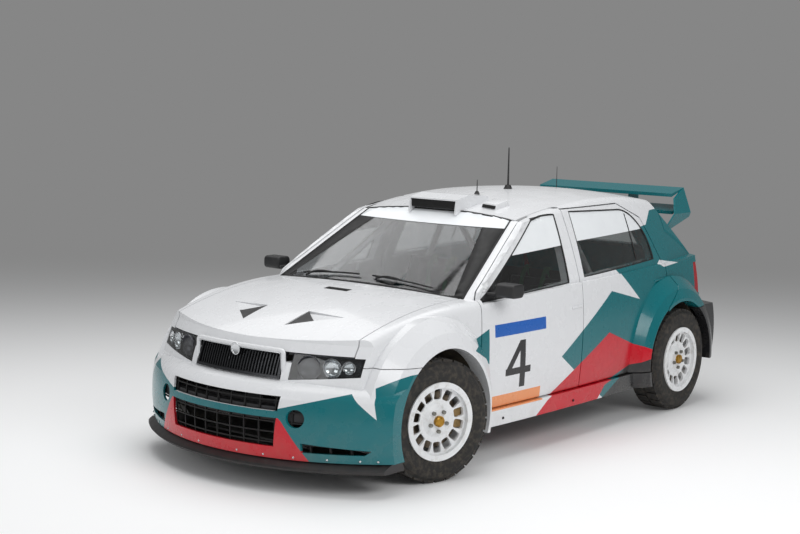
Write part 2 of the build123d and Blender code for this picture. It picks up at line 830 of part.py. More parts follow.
def grille():
    """Upright slats in a border, curved with the nose."""
    plate = (nose_form(0) - nose_form(grille_wall)) & grille_prism(0)
    hole = front_prism(grille_outline(-grille_border), x_front_axle + arch_radius, front_end)
    frame = plate - hole
    inner = grille_foot_half_width - grille_border
    pitch = 2 * inner / (slat_count + 1)
    bars = [block(x_front_axle + arch_radius, front_end, -inner + (i + 1) * pitch - slat_width / 2,
                  -inner + (i + 1) * pitch + slat_width / 2, grille_foot_z,
                  grille_top_z) for i in range(slat_count)]
    core = (nose_form(skin / 2) - nose_form(skin / 2 + slat_depth)) & hole
    slats = core & (bars[0] + bars[1:])
    return frame + slats


def hood():
    """Hood panel with its two vents, down to the top of the grille and lamps."""
    panel = (lower_form(0) - lower_form(hood_wall)) & hood_prism(0)
    panel = panel - grille_prism(panel_gap / 2)
    vent = block(vent_centre_x - vent_length / 2, vent_centre_x + vent_length / 2,
                 vent_centre_y - vent_width / 2, vent_centre_y + vent_width / 2, bumper_top, cowl_height)
    frame = plan_prism(polygon([(vent_centre_x + vent_length / 2, vent_centre_y - vent_width / 2),
                                (vent_centre_x - vent_length / 2, vent_centre_y - vent_width / 2),
                                (vent_centre_x - vent_length / 2, vent_centre_y + vent_width / 2)]),
                       bumper_top, cowl_height)
    panel = panel - both_sides(frame & vent)
    return max(panel.solids(), key=lambda solid: solid.volume)


def front_lamps():
    shell = lower_form(skin / 4) - lower_form(lamp_depth)
    return shell & lamp_prism(0)


def windscreen():
    pane = cabin_form(glass_inset) - cabin_form(glass_inset + glass_thickness * 2)
    region = front_prism(screen_outline(0), header_x - skin, front_end) & block(
        rear_end, screen_foot_x, -width, width, cabin_foot_height, roof_height)
    return pane & region - hood_prism(panel_gap)


def roof_panel():
    shell = cabin_form(0) - cabin_form(side_wall)
    panel = shell & plan_prism(roof_outline(0), cabin_top_height - overrun / 4, roof_height + overrun)
    return panel - tailgate_prism(panel_gap)


def roof_scoop():
    """Open-mouthed intake and a small box vent behind it."""
    profile = polygon([(scoop_nose_x, header_height - 2 * skin),
                       (scoop_nose_x - skin, header_height + scoop_height),
                       (scoop_nose_x - scoop_length * 0.4, roof_height),
                       (scoop_nose_x - scoop_length, roof_height - skin),
                       (scoop_nose_x - scoop_length, header_height)])
    outer = side_prism(profile, -scoop_half_width, scoop_half_width)
    mouth = side_prism(profile, scoop_wall - scoop_half_width, scoop_half_width - scoop_wall)
    mouth = Pos(scoop_wall, 0, -scoop_wall) * mouth
    solid = outer - (mouth & block(scoop_nose_x - scoop_length / 2, front_end, -width, width, 0, roof_height))
    return (solid & block(rear_end, front_end, -width, width, 0, roof_height)) - cabin_form(0)


def tailgate():
    """Tailgate with its glass opening and lamp cut-outs."""
    shell = (body_form(0) - body_form(side_wall)) & tailgate_prism(0)
    shell = shell & block(rear_end - overrun, tailgate_front_x, -width, width, tailgate_foot_z, roof_height)
    ears = both_sides(block(tailgate_ear_x, tailgate_front_x, tailgate_ear_y, width,
                            cabin_belt_height - side_wall, cabin_belt_height + side_wall))
    gate = shell - rear_glass_prism(0) - ears
    return max(gate.solids(), key=lambda solid: solid.volume)


def rear_glass_prism(grow):
    return front_prism(polygon([(-rear_glass_foot_half_width - grow, rear_glass_foot_z - grow),
                                (rear_glass_foot_half_width + grow, rear_glass_foot_z - grow),
                                (rear_glass_top_half_width + grow, rear_glass_top_z + grow),
                                (-rear_glass_top_half_width - grow, rear_glass_top_z + grow)]),
                       rear_end - overrun, x_rear_axle - overrun / 4)


def rear_glass():
    pane = cabin_form(glass_inset) - cabin_form(glass_inset + glass_thickness * 2)
    return pane & rear_glass_prism(0) & block(rear_end, tailgate_front_x, -width, width, 0, roof_height)


def tail_lamps():
    return (body_form(skin / 4) - body_form(tail_lamp_depth)) & tail_lamp_prism(0)


def side_zone():
    """Left side of the car behind the front fender's rear edge, above the floor's edge."""
    zone = block(rear_end, door_front_x + jamb_overlap / 2, 0, width, sill_bottom, roof_height + side_wall)
    return zone - block(rear_end, front_end, 0, floor_half_width + seat_gap, 0,
                        door_bottom - jamb_overlap / 2)


def door_openings(grow):
    return door_prism(front_door_outline(grow)) + door_prism(rear_door_outline(grow))


def side_frame():
    """Left side of the shell: rocker, pillars, cant rail and rear quarter, with door frames and seals."""
    zone = side_zone()
    depth = side_wall + jamb_gap
    inner = body_form(depth + jamb_depth) & zone
    shell = (body_form(0) & zone) - inner
    shell = shell - fender_rear_prism(0) - door_openings(panel_gap)
    shell = shell - plan_prism(roof_outline(seat_gap), cabin_top_height - overrun / 4, roof_height + overrun)
    shell = shell - tailgate_prism(panel_gap) - tail_lamp_prism(seam) - rear_bumper_prism(trim_gap)
    shell = shell - front_prism(screen_outline(seat_gap, roof_height), roof_front_x, front_end)
    shell = shell - block(rear_end, tail_lamp_front_x, 0, tailgate_foot_half_width, 0, tailgate_foot_z)
    flare = (arch_flare(x_rear_axle) & zone) - body_form(skin) - door_prism(rear_door_outline(panel_gap))
    flare = flare - rear_bumper_prism(trim_gap)
    band = door_openings(jamb_overlap / 2) - door_prism(front_door_outline(-jamb_overlap))
    band = band - door_prism(rear_door_outline(-jamb_overlap))
    ring = (((body_form(depth) & zone) - inner) & band) - screen_core(0)
    seal_band = door_openings(-seal_width / 2)
    seal_band = seal_band - door_prism(front_door_outline(-3 * seal_width / 2))
    seal_band = seal_band - door_prism(rear_door_outline(-3 * seal_width / 2))
    hinge_side = door_prism(polygon([(door_front_x - hinge_inset - side_wall, 0), (door_front_x, 0),
                                     (door_front_x, roof_height),
                                     (door_front_top_x - side_wall, roof_height)]))
    middle = door_prism(polygon([(b_pillar_foot_x - side_wall * 3 / 2, 0),
                                 (b_pillar_foot_x + side_wall / 4, 0),
                                 (b_pillar_belt_x + side_wall / 4, cabin_belt_height),
                                 (b_pillar_top_x, roof_height),
                                 (b_pillar_top_x - side_wall * 3 / 2, roof_height)]))
    seal = ((body_form(side_wall + seat_gap) & zone) - inner) & (seal_band - hinge_side - middle)
    seal = seal - screen_core(0)
    frame = shell + flare + ring + seal
    frame = frame - wheel_cylinder(x_rear_axle, arch_radius, wheelhouse_inner_rear, width)
    return max(frame.solids(), key=lambda solid: solid.volume)


def floor_pan():
    """Floor, firewall, front rails with fender rails and towers, and the raised boot floor."""
    top = sill_top - 2 * floor_wall
    main = block(floor_rear_x, firewall_x, -floor_half_width, floor_half_width, top - floor_wall, top)
    wall = block(firewall_x - floor_wall, firewall_x, -fender_rail_y, fender_rail_y, top - floor_wall,
                 roof_height)
    wall = wall & lower_form(skin + liner)
    rails = both_sides(block(firewall_x - floor_wall, rail_front_x, rail_inner_y, rail_outer_y,
                             rail_bottom_z, rail_top_z))
    crossbar = block(rail_front_x - side_wall, rail_front_x, -rail_outer_y, rail_outer_y, rail_bottom_z,
                     rail_top_z)
    beam = (bumper_form(beam_inset) - bumper_form(beam_inset + side_wall)) & block(
        rail_front_x, front_end, -beam_half_width, beam_half_width, blade_z - blade_height, blade_z
                                                                                   + blade_height)
    legs = both_sides(block(rail_front_x - side_wall, bumper_face_x - beam_inset * 3, rail_inner_y,
                            rail_outer_y,
                            blade_z - blade_height, blade_z + blade_height))
    legs = legs & bumper_form(beam_inset + seat_gap)
    latch = block(rail_front_x - side_wall, rail_front_x, -side_wall, side_wall, rail_bottom_z, cowl_height)
    latch = latch & lower_form(hood_wall + seat_gap)
    strip = (lower_form(skin + seat_gap) - lower_form(skin + liner)) & block(
        firewall_x - floor_wall, lamp_back_x - skin, hood_half_width + 2 * panel_gap, fender_rail_y,
                                                                             bumper_top + skin,
        cowl_height)
    tower = block(x_front_axle - side_wall, x_front_axle + side_wall, rail_inner_y, fender_rail_y,
                  rail_bottom_z, cowl_height) & lower_form(skin + liner)
    tower = tower - wheel_cylinder(x_front_axle, arch_radius, wheelhouse_inner_front, width)
    front = main + wall + rails + crossbar + beam + legs + latch + both_sides(strip) + both_sides(tower)
    hinge_pillars = both_sides(block(rear_end, door_front_x + jamb_overlap / 2 + seat_gap,
                                     firewall_half_width, width,
                                     0, roof_height))
    under_screen = block(rear_end, screen_foot_x, -width, width, cabin_foot_height, roof_height)
    front = front - hinge_pillars - under_screen
    riser = block(floor_rear_x - floor_wall, floor_rear_x, -boot_half_width, boot_half_width,
                  top - floor_wall, boot_floor_z)
    boot = block(boot_rear_x, floor_rear_x, -boot_half_width, boot_half_width, boot_floor_z - floor_wall,
                 boot_floor_z)
    well = both_sides(block(boot_rear_x, floor_rear_x, boot_half_width - floor_wall, boot_half_width,
                            boot_floor_z - floor_wall, boot_floor_z + overrun / 2))
    tail = (tail_form(side_wall + seat_gap) - tail_form(side_wall + floor_wall)) & block(
        rear_end, x_rear_axle, -boot_half_width, boot_half_width, boot_floor_z - floor_wall,
        tailgate_foot_z + 2 * liner)
    brackets = both_sides(block(rear_end, boot_rear_x + side_wall, rail_inner_y, rail_outer_y,
                                boot_floor_z,
                                boot_floor_z + 2 * liner)) & rear_bumper_form(rear_bumper_wall + seat_gap)
    return front + riser + boot + well + tail + brackets


def rear_bumper_form(inset):
    centre = rear_end + rear_bumper_bow_radius
    face = rear_end + inset
    foot = (face + 2 * skin, rear_bumper_bottom)
    head = (face + 2 * skin, rear_bumper_top - inset)
    edges = [
        Line((centre, rear_bumper_bottom), foot),
        ThreePointArc(foot, (face, (rear_bumper_bottom + rear_bumper_top) / 2), head),
        Line(head, (centre, head[1])),
        Line((centre, head[1]), (centre, rear_bumper_bottom)),
    ]
    turn = 2.2 * math.degrees(math.asin(half_width / rear_bumper_bow_radius))
    swept = swing(Plane.XZ * make_face(edges), Axis((centre, 0, 0), (0, 0, 1)), turn)
    return swept & block(rear_end, x_rear_axle + overrun / 4, inset - sill_half_width,
                         sill_half_width - inset,
                         0, roof_height)


def rear_bumper():
    """Dark lower bumper across the tail."""
    region = block(rear_end, x_rear_axle - overrun / 4, -width, width, rear_bumper_bottom, rear_bumper_top)
    inner = rear_bumper_form(rear_bumper_wall)
    shell = ((rear_bumper_form(0) - inner) & region) - (tail_form(rear_bumper_wall) & block(
        rear_end, x_front_axle, side_wall - belt_half_width, belt_half_width - side_wall, 0, roof_height))
    flare = (both_sides(arch_flare(x_rear_axle)) & region) - inner
    flare = flare & block(rear_end, x_rear_axle, -width, width, rear_bumper_bottom, rear_bumper_top)
    shell = (shell + flare) - both_sides(wheel_cylinder(x_rear_axle, arch_radius, 0, width))
    return max(shell.solids(), key=lambda solid: solid.volume)


def rear_wing():
    """Two blades between end plates, on two stays that stand on the tailgate."""
    def blade(nose_z, tail_z, nose_x, tail_x, span):
        points = [(nose_x, nose_z - wing_thickness / 2), (nose_x, nose_z + wing_thickness / 2),
                  (tail_x, tail_z), (tail_x, tail_z - wing_thickness / 3)]
        return side_prism(polygon(points), -span / 2, span / 2)
    upper = blade(wing_nose_z, wing_tail_z, wing_nose_x, wing_tail_x, wing_span)
    lower = blade(wing_nose_z - wing_lower_drop, wing_tail_z - wing_lower_drop, wing_nose_x - wing_thickness,
                  wing_tail_x + wing_thickness, wing_span)
    lower = lower - cabin_form(-skin / 3)
    foot_z = wing_nose_z - 2 * wing_lower_drop - skin
    outline = [(wing_span / 2 - wing_plate_thickness, wing_tail_z), (wing_span / 2, wing_tail_z),
               (wing_span / 2 + wing_plate_spread, wing_nose_z - wing_lower_drop),
               (wing_span / 2 + skin, foot_z),
               (wing_span / 2 + skin - wing_plate_thickness, foot_z),
               (wing_span / 2 + wing_plate_spread - wing_plate_thickness, wing_nose_z - wing_lower_drop)]
    sides = [(wing_nose_x, wing_nose_z - wing_thickness), (wing_tail_x, wing_tail_z),
             (wing_tail_x, wing_nose_z - wing_lower_drop - side_wall / 2),
             (wing_nose_x + side_wall * 2, foot_z)]
    plate = front_prism(polygon(outline), rear_end - overrun, x_rear_axle) & side_prism(polygon(sides), 0,
                                                                                        width)
    stay_profile = [(wing_nose_x - wing_thickness, wing_nose_z),
                    (wing_tail_x + wing_thickness, wing_tail_z - wing_thickness / 2),
                    (wing_tail_x + wing_thickness, foot_z), (wing_nose_x, foot_z)]
    stays = side_prism(polygon(stay_profile), wing_stay_y - wing_plate_thickness / 2,
                       wing_stay_y + wing_plate_thickness / 2)
    wing = (upper + lower + both_sides(plate) + both_sides(stays)) - body_form(-seam)
    return max(wing.solids(), key=lambda solid: solid.volume)


def ring(outline):
    """Solid of revolution about the wheel's axle, from (distance along the axle, radius) points."""
    return revolve(Plane.XY * polygon(outline), Axis((0, 0, 0), (1, 0, 0)), 360)


def tyre():
    """Tyre about the X axis, with shoulder blocks round the tread."""
    half = tyre_width / 2
    bead = rim_flange_width
    outer = [(-half + bead, bead_radius), (-half + bead, rim_flange_radius + panel_gap),
             (-half, (tyre_radius + rim_flange_radius) / 2), (-half + skin / 2, tyre_radius - 2 * skin),
             (-half + 2 * skin, tyre_radius - tread_depth)]
    outer = outer + [(-x, r) for x, r in reversed(outer)]
    inner = [(-half + bead + tyre_wall, bead_radius),
             (-half + tyre_wall, (tyre_radius + rim_flange_radius) / 2),
             (-half + 2 * skin, tyre_radius - 2 * skin - tyre_wall / 2)]
    inner = inner + [(-x, r) for x, r in reversed(inner)]
    body = ring(outer) - ring(inner)
    pitch = 360 / tread_block_count
    chord = 2 * tyre_radius * math.sin(math.radians(pitch / 2)) - tread_groove
    lug_top = math.sqrt(tyre_radius ** 2 - (chord / 2) ** 2)
    lug = Pos(0, 0, lug_top - tread_depth) * Box(tread_row_width, chord, 2 * tread_depth)
    row_pitch = (tread_row_width + tread_groove) / 2
    return body + [Rot(pitch * (i + row / 4), 0, 0) * Pos(row * row_pitch, 0, 0) * lug
                   for i in range(tread_block_count) for row in (-1, 1)]


def rim():
    """White wheel with windows round the spokes, a brake disc behind them and a bore for the stub."""
    half = tyre_width / 2
    barrel = rim_barrel_radius
    shell = ring([(-half, barrel), (-half, rim_flange_radius), (-half + rim_flange_width, rim_flange_radius),
                  (-half + rim_flange_width, bead_radius - seat_gap),
                  (half - rim_flange_width, bead_radius - seat_gap),
                  (half - rim_flange_width, rim_flange_radius), (half, rim_flange_radius), (half, barrel),
                  (half, barrel - rim_barrel_wall), (-half, barrel - rim_barrel_wall)])
    face_x = half - rim_face_depth
    face = ring([(face_x - rim_face_thickness, 0),
                 (face_x - rim_face_thickness, barrel - rim_barrel_wall / 2),
                 (face_x, barrel - rim_barrel_wall / 2),
                 (face_x - skin, (spoke_window_inner + hub_radius) / 2),
                 (face_x, hub_radius), (face_x, hub_cap_radius),
                 (face_x + hub_cap_height, hub_cap_radius - skin / 2),
                 (face_x + hub_cap_height, 0)])
    reach = spoke_window_outer - spoke_window_inner
    middle = (spoke_window_outer + spoke_window_inner) / 2
    width_out = 2 * math.pi * middle / spoke_count - spoke_width
    window = Pos(face_x, 0, middle) * (Rot(0, 90, 0) * extrude(
        fillet(Rectangle(reach, width_out).vertices(), width_out / 4), amount=rim_face_thickness * 3,
                                                               both=True))
    hub = ring([(disc_plane_x - disc_thickness / 2, stub_radius),
                (disc_plane_x - disc_thickness / 2, disc_radius),
                (disc_plane_x + disc_thickness / 2, disc_radius),
                (disc_plane_x + disc_thickness / 2, hub_radius),
                (face_x - rim_face_thickness, hub_radius), (face_x - rim_face_thickness, stub_radius)])
    wheel = shell + face - [Rot(360 / spoke_count * i, 0, 0) * window for i in range(spoke_count)]
    return wheel + hub


def on_wheel(shape, side, front):
    """Place a shape made about the X axis on one wheel centre, its outer face away from the car."""
    turned = Rot(0, 0, 90 * side) * shape
    if front:
        pose = Pos(x_front_axle, side * kingpin_y, tyre_radius) * Rot(0, 0, -parked_steer_deg)
        return pose * (Pos(0, side * kingpin_inset, 0) * turned)
    return Pos(x_rear_axle, side * wheel_centre_y, tyre_radius) * turned


def knuckle(side):
    """Front upright with its stub, ball-joint eyes, brake caliper and steering arm."""
    low = knuckle_low_z - tyre_radius
    high = knuckle_high_z - tyre_radius
    upright = block(-knuckle_eye_radius, knuckle_eye_radius, -knuckle_eye_radius, knuckle_eye_radius,
                    low + knuckle_eye_height / 2 + seat_gap * 3, high - knuckle_eye_height / 2 - seat_gap * 3)
    pins = [Pos(0, 0, z) * Cylinder(ball_joint_radius,
                                    knuckle_eye_height + 4 * skin / 2) for z in (low, high)]
    disc_back = kingpin_inset + disc_plane_x - disc_thickness / 2
    face_back = kingpin_inset + tyre_width / 2 - rim_face_depth - rim_face_thickness
    stub = Rot(-90, 0, 0) * extrude(Circle(stub_radius - axle_stub_clearance), amount=face_back - panel_gap)
    caliper = block(-disc_radius - caliper_overhang, caliper_depth - disc_radius,
                    disc_back - caliper_width / 3,
                    disc_back + disc_thickness + caliper_width / 3, -caliper_length / 2, caliper_length / 2)
    slot = Pos(0, disc_back + disc_thickness / 2, 0) * (
        Rot(90, 0, 0) * Cylinder(disc_radius + seat_gap * 10, disc_thickness + 2 * caliper_gap))
    bridge = block(-disc_radius, 0, disc_back - caliper_width / 3, disc_back - caliper_gap,
                   -knuckle_eye_radius, knuckle_eye_radius)
    body = (upright + pins + stub + bridge) + (caliper - slot)
    if side < 0:
        body = mirrored(body)
    return Pos(x_front_axle, side * kingpin_y, tyre_radius) * (Rot(0, 0, -parked_steer_deg) * body)


def engine_block():
    """Plain block between the front rails, with an arm to each rail."""
    body = block(engine_rear_x, engine_rear_x + engine_length, -engine_half_width, engine_half_width,
                 rail_bottom_z, rail_bottom_z + engine_height)
    arms = block(engine_rear_x + engine_length / 2 - side_wall / 2,
                 engine_rear_x + engine_length / 2 + side_wall / 2,
                 seat_gap - rail_inner_y, rail_inner_y - seat_gap, rail_bottom_z + liner, rail_top_z - liner)
    return body + arms


def front_axle():
    """Subframe, lower arms with ball-joint eyes, struts and the steering rack."""
    axle = block(x_front_axle - subframe_length / 2, x_front_axle + subframe_length / 2, -rail_inner_y,
                 rail_inner_y,
                 knuckle_low_z - arm_height / 2, rail_bottom_z - seat_gap) - engine_clearance()
    for side in (-1, 1):
        arm_inner, arm_outer = sorted((side * (rail_inner_y - arm_width),
                                       side * (kingpin_y - knuckle_eye_radius / 2)))
        arm = block(x_front_axle - arm_width / 2, x_front_axle + arm_width / 2, arm_inner, arm_outer,
                    knuckle_low_z - arm_height / 2, knuckle_low_z + arm_height / 2)
        strut = Pos(x_front_axle, side * strut_y, (knuckle_high_z + strut_top_z) / 2) * Cylinder(
            strut_radius, strut_top_z - knuckle_high_z)
        link_inner, link_outer = sorted((side * strut_y, side * (kingpin_y - knuckle_eye_radius / 2)))
        link = block(x_front_axle - arm_width / 2, x_front_axle + arm_width / 2, link_inner, link_outer,
                     knuckle_high_z - arm_height / 2, knuckle_high_z + arm_height / 2)
        eyes = [Pos(x_front_axle, side * kingpin_y, z) * Cylinder(knuckle_eye_radius, arm_height)
                for z in (knuckle_low_z, knuckle_high_z)]
        bores = [Pos(x_front_axle, side * kingpin_y, z) * Cylinder(ball_joint_radius + seat_gap,
                                                                   arm_height * 2)
                 for z in (knuckle_low_z, knuckle_high_z)]
        axle = axle + ((arm + link + strut + eyes) - bores)
    return axle


def engine_clearance():
    return block(rear_end, front_end, -width, width, rail_bottom_z - seat_gap, roof_height)


def rear_axle():
    """Beam between the rear hubs with its trailing arms and stub axles."""
    reach = wheel_centre_y + tyre_width / 2 - rim_face_depth - rim_face_thickness - panel_gap
    beam = Pos(x_rear_axle, 0, tyre_radius) * (Rot(90, 0, 0) * Cylinder(
        beam_radius, 2 * (wheel_centre_y + disc_plane_x - disc_thickness / 2 - panel_gap)))
    stubs = Pos(x_rear_axle, 0,
                tyre_radius) * (Rot(90, 0, 0) * Cylinder(stub_radius - axle_stub_clearance, 2 * reach))
    arms = both_sides(block(x_rear_axle, floor_rear_x - floor_wall - seat_gap, rail_inner_y, rail_outer_y,
                            tyre_radius - arm_width / 2, tyre_radius + arm_width / 2))
    return beam + stubs + arms


def seats():
    """Two shell seats with raised sides."""
    made = []
    for side in (-1, 1):
        outline = polygon([seat_point(x, z) for x, z in seat_shares])
        inner = polygon([seat_point(x, z) for x, z in seat_inner_shares])
        half = seat_width / 2
        shell = side_prism(outline, side * seat_y - half, side * seat_y + half)
        hollow = side_prism(inner, side * seat_y - half + seat_wall, side * seat_y + half - seat_wall)
        made.append(shell - hollow)
    return made[0] + made[1]


def seat_point(x_share, z_share):
    """Shares of the seat's back height, from the hip point on the floor."""
    return (seat_hip_x + x_share * seat_back_height,
            sill_top - 2 * floor_wall + seat_gap + z_share * seat_back_height)


def roll_cage():
    """Main hoop with stays, roof bars and front legs."""
    floor_z = sill_top - 2 * floor_wall + seat_gap
    tubes = [tube(run, cage_radius) for run in cage_runs(floor_z)]
    cage = tubes[0]
    for piece in tubes[1:]:
        cage = cage + piece
    boot = block(rear_end, floor_rear_x, -width, width, 0, boot_floor_z + seat_gap)
    return (cage & block(rear_end, front_end, -width, width, floor_z, roof_height)) - boot


def cage_runs(floor_z):
    """Centre lines of the tubes as (x, y, z)."""
    foot_y = floor_half_width - 2 * side_wall
    top_y = cabin_top_half_width - 3 * side_wall
    top_z = roof_height - 2 * side_wall
    shoulder_y = floor_half_width - 5 * side_wall / 2
    front_x = header_x - side_wall
    runs = [[(hoop_x, -foot_y, floor_z), (hoop_x, -shoulder_y, cabin_belt_height), (hoop_x, -top_y, top_z),
             (hoop_x, top_y, top_z), (hoop_x, shoulder_y, cabin_belt_height), (hoop_x, foot_y, floor_z)]]
    for side in (-1, 1):
        runs.append([(hoop_x, side * top_y, top_z), (front_x - side_wall, side * top_y, top_z - side_wall),
                     (door_front_x - 3 * side_wall, side * (foot_y - side_wall / 2),
                      cowl_height - 2 * side_wall),
                     (door_front_x - 3 * side_wall, side * foot_y, floor_z)])
        runs.append([(hoop_x, side * top_y, top_z),
                     (x_rear_axle, side * (boot_half_width - 2 * side_wall), boot_floor_z)])
    runs.append([(front_x - side_wall, -top_y, top_z - side_wall),
                 (front_x - side_wall, top_y, top_z - side_wall)])
    runs.append([(hoop_x, -foot_y + side_wall / 2, floor_z + side_wall * 3),
                 (hoop_x, shoulder_y, cabin_belt_height)])
    return runs


def dashboard():
    """Dash panel with its column and a round steering wheel on the left."""
    front = firewall_x - floor_wall - seat_gap
    foot = dash_top_z - 4 * side_wall
    profile = polygon([(front, dash_top_z - 2 * side_wall), (front, dash_top_z - side_wall),
                       (dash_rear_x + side_wall, dash_top_z), (dash_rear_x, dash_top_z - side_wall),
                       (dash_rear_x + side_wall, foot), (dash_rear_x + 2 * side_wall, foot)])
    panel = side_prism(profile, -dash_half_width, dash_half_width)
    column_top = (dash_rear_x - 2 * side_wall, seat_y, dash_top_z - side_wall)
    column = tube([(dash_rear_x + side_wall, seat_y, dash_top_z - 2 * side_wall), column_top], cage_radius)
    axis = Plane(Vector(*column_top), z_dir=(-2, 0, 1))
    rim_ring = axis * Torus(wheel_rim_radius, wheel_rim_tube)
    spoke = Pos(wheel_rim_radius / 2, 0, 0) * Box(wheel_rim_radius, 2 * wheel_rim_tube, wheel_rim_tube / 2)
    spokes = [axis * (Rot(0, 0,
                          360 / wheel_spoke_count * (i + 1 / 4)) * spoke) for i in range(wheel_spoke_count)]
    return panel + column + rim_ring + spokes


def mirrors(side):
    """Door mirror with a short arm to the door skin."""
    head = Pos(mirror_x, mirror_y, mirror_z) * Box(mirror_depth, mirror_width, mirror_height)
    head = fillet(head.edges().filter_by(Axis.Y), mirror_height / 3)
    arm = block(mirror_x - mirror_depth / 3, mirror_x + mirror_depth / 3,
                belt_half_width - 3 * side_wall / 2, mirror_y,
                mirror_z - mirror_height / 2, mirror_z - mirror_height / 4)
    shape = (head + arm) - body_form(-seam)
    shape = max(shape.solids(), key=lambda solid: solid.volume)
    return shape if side > 0 else mirrored(shape)


def aerials():
    """Roof aerials, each a tapered rod on a base."""
    made = []
    for x, base_radius, rod_height in aerial_table:
        foot_z = roof_surface_z(x)
        base = Pos(x, 0, foot_z + base_radius / 2) * Cone(base_radius, base_radius / 2, base_radius)
        rod = Pos(x, 0, foot_z + base_radius + rod_height / 2) * Cone(base_radius / 5, base_radius / 9,
                                                                      rod_height)
        made.append(base + rod)
    shape = made[0] + made[1:]
    return shape - cabin_form(-seam)


def roof_surface_z(x):
    """Height of the roof's middle line, less a little so that what stands there reaches its skin."""
    chord = (header_x - roof_rear_x) / 2
    rise = roof_height - (header_height + roof_rear_height) / 2
    return roof_height - rise * ((x - roof_peak_x) / chord) ** 2 - panel_gap


def exhaust():
    """Tailpipe and silencer under the boot floor."""
    silencer = Pos(boot_rear_x + overrun / 2, -seat_y / 2,
                   boot_floor_z - floor_wall - exhaust_radius - seat_gap) * (
        Rot(0, 90, 0) * Cylinder(exhaust_radius, overrun * 0.7))
    z = boot_floor_z - floor_wall - exhaust_radius - seat_gap
    pipe = tube([(boot_rear_x + overrun / 2, -seat_y / 2, z), (rear_end + overrun / 8, -seat_y / 2, z)],
                exhaust_radius / 2)
    return silencer + pipe


def sump_guard():
    """Skid plate under the engine."""
    return block(x_front_axle - subframe_length, rail_front_x, -rail_inner_y, rail_inner_y,
                 knuckle_low_z - arm_height / 2 - liner / 2 - seat_gap,
                 knuckle_low_z - arm_height / 2 - seat_gap)


def wipers():
    """Two strips that follow the foot of the windscreen."""
    over = cabin_form(-wiper_width) - cabin_form(-seam)
    strips = [over & block(wiper_x - wiper_width, wiper_x, y - wiper_length, y, cabin_foot_height,
                           roof_height)
              for y in (wiper_left_y, wiper_right_y)]
    return strips[0] + strips[1]


def pieces():
    """Every piece of the car, by name."""
    left_doors = doors()
    made = {
        "floor_pan": floor_pan(),
        "side_frame_left": side_frame(),
        "front_fender_left": front_fender(),
        "front_bumper": front_bumper(),
        "intake_grille": intake_grille() - front_bumper_blade(),
        "front_splitter": splitter(),
        "front_lamps": front_lamps(),
        "rear_bumper": rear_bumper(),
        "tail_lamps": tail_lamps(),
        "windscreen": windscreen(),
        "roof_panel": roof_panel(),
        "roof_scoop": roof_scoop(),
        "hood": hood(),
        "grille": grille(),
        "tailgate": tailgate(),
        "rear_glass": rear_glass(),
        "rear_wing": rear_wing(),
        "engine_block": engine_block(),
        "front_axle": front_axle(),
        "rear_axle": rear_axle(),
        "seats": seats(),
        "roll_cage": roll_cage(),
        "dashboard": dashboard(),
        "aerials": aerials(),
        "exhaust": exhaust(),
        "sump_guard": sump_guard(),
        "wipers": wipers(),
    }
    made["side_frame_right"] = mirrored(made["side_frame_left"])
    made["front_fender_right"] = mirrored(made["front_fender_left"])
    tyre_shape, rim_shape = tyre(), rim()
    for name, side in (("left", 1), ("right", -1)):
        for piece, shape in left_doors.items():
            made[piece + "_" + name] = shape if side > 0 else mirrored(shape)
        made["mirror_" + name] = mirrors(side)
        made["knuckle_" + name] = knuckle(side)
        for place, front in (("front", True), ("rear", False)):
            made["_".join(("tyre", place, name))] = on_wheel(tyre_shape, side, front)
            made["_".join(("rim", place, name))] = on_wheel(rim_shape, side, front)
    return made


def front_bumper_blade():
    return block(bumper_return_x, front_end, -intake_half_width - skin, intake_half_width + skin,
                 blade_z - blade_height / 2, blade_z + blade_height / 2) & bumper_form(0)


os.makedirs("parts", exist_ok=True)
for node, piece in pieces().items():
    export_step(piece, os.path.join("parts", node + ".step"))
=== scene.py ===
import bpy
import math
from mathutils import Matrix, Vector


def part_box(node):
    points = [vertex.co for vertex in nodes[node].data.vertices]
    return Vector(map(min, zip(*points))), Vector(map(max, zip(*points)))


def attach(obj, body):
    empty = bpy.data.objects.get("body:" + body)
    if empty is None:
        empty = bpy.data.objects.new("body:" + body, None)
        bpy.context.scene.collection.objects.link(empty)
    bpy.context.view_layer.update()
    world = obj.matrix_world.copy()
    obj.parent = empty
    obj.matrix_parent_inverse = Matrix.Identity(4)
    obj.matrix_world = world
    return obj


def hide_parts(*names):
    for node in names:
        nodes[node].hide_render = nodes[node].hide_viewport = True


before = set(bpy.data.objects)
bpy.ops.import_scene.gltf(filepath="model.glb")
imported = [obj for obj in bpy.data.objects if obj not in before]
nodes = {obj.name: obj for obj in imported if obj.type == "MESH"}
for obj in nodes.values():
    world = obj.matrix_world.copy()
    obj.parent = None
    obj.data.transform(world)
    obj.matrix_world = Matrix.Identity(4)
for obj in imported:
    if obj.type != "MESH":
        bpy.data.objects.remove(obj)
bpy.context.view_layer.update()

# Rally hatchback: paint, glass, wheels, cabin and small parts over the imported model.
# Metres. +X is the front of the car and +Y its left. A millimetre is written as mm.
mm = 0.001
print("frame loaded:", len(nodes), "nodes")


# Small helpers.

def toLinear(code):
    parts = [int(code[i:i + 2], 16) / 255 for i in (1, 3, 5)]
    return [p / 12.92 if p <= 0.04045 else ((p + 0.055) / 1.055) ** 2.4 for p in parts] + [1]


def addNode(tree, kind, settings=None, links=None):
    made = tree.nodes.new("ShaderNode" + kind)
    for key, value in (settings or {}).items():
        if isinstance(key, str) and hasattr(made, key):
            setattr(made, key, value)
        else:
            made.inputs[key].default_value = value
    for key, socket in (links or {}).items():
        tree.links.new(socket, made.inputs[key])
    return made


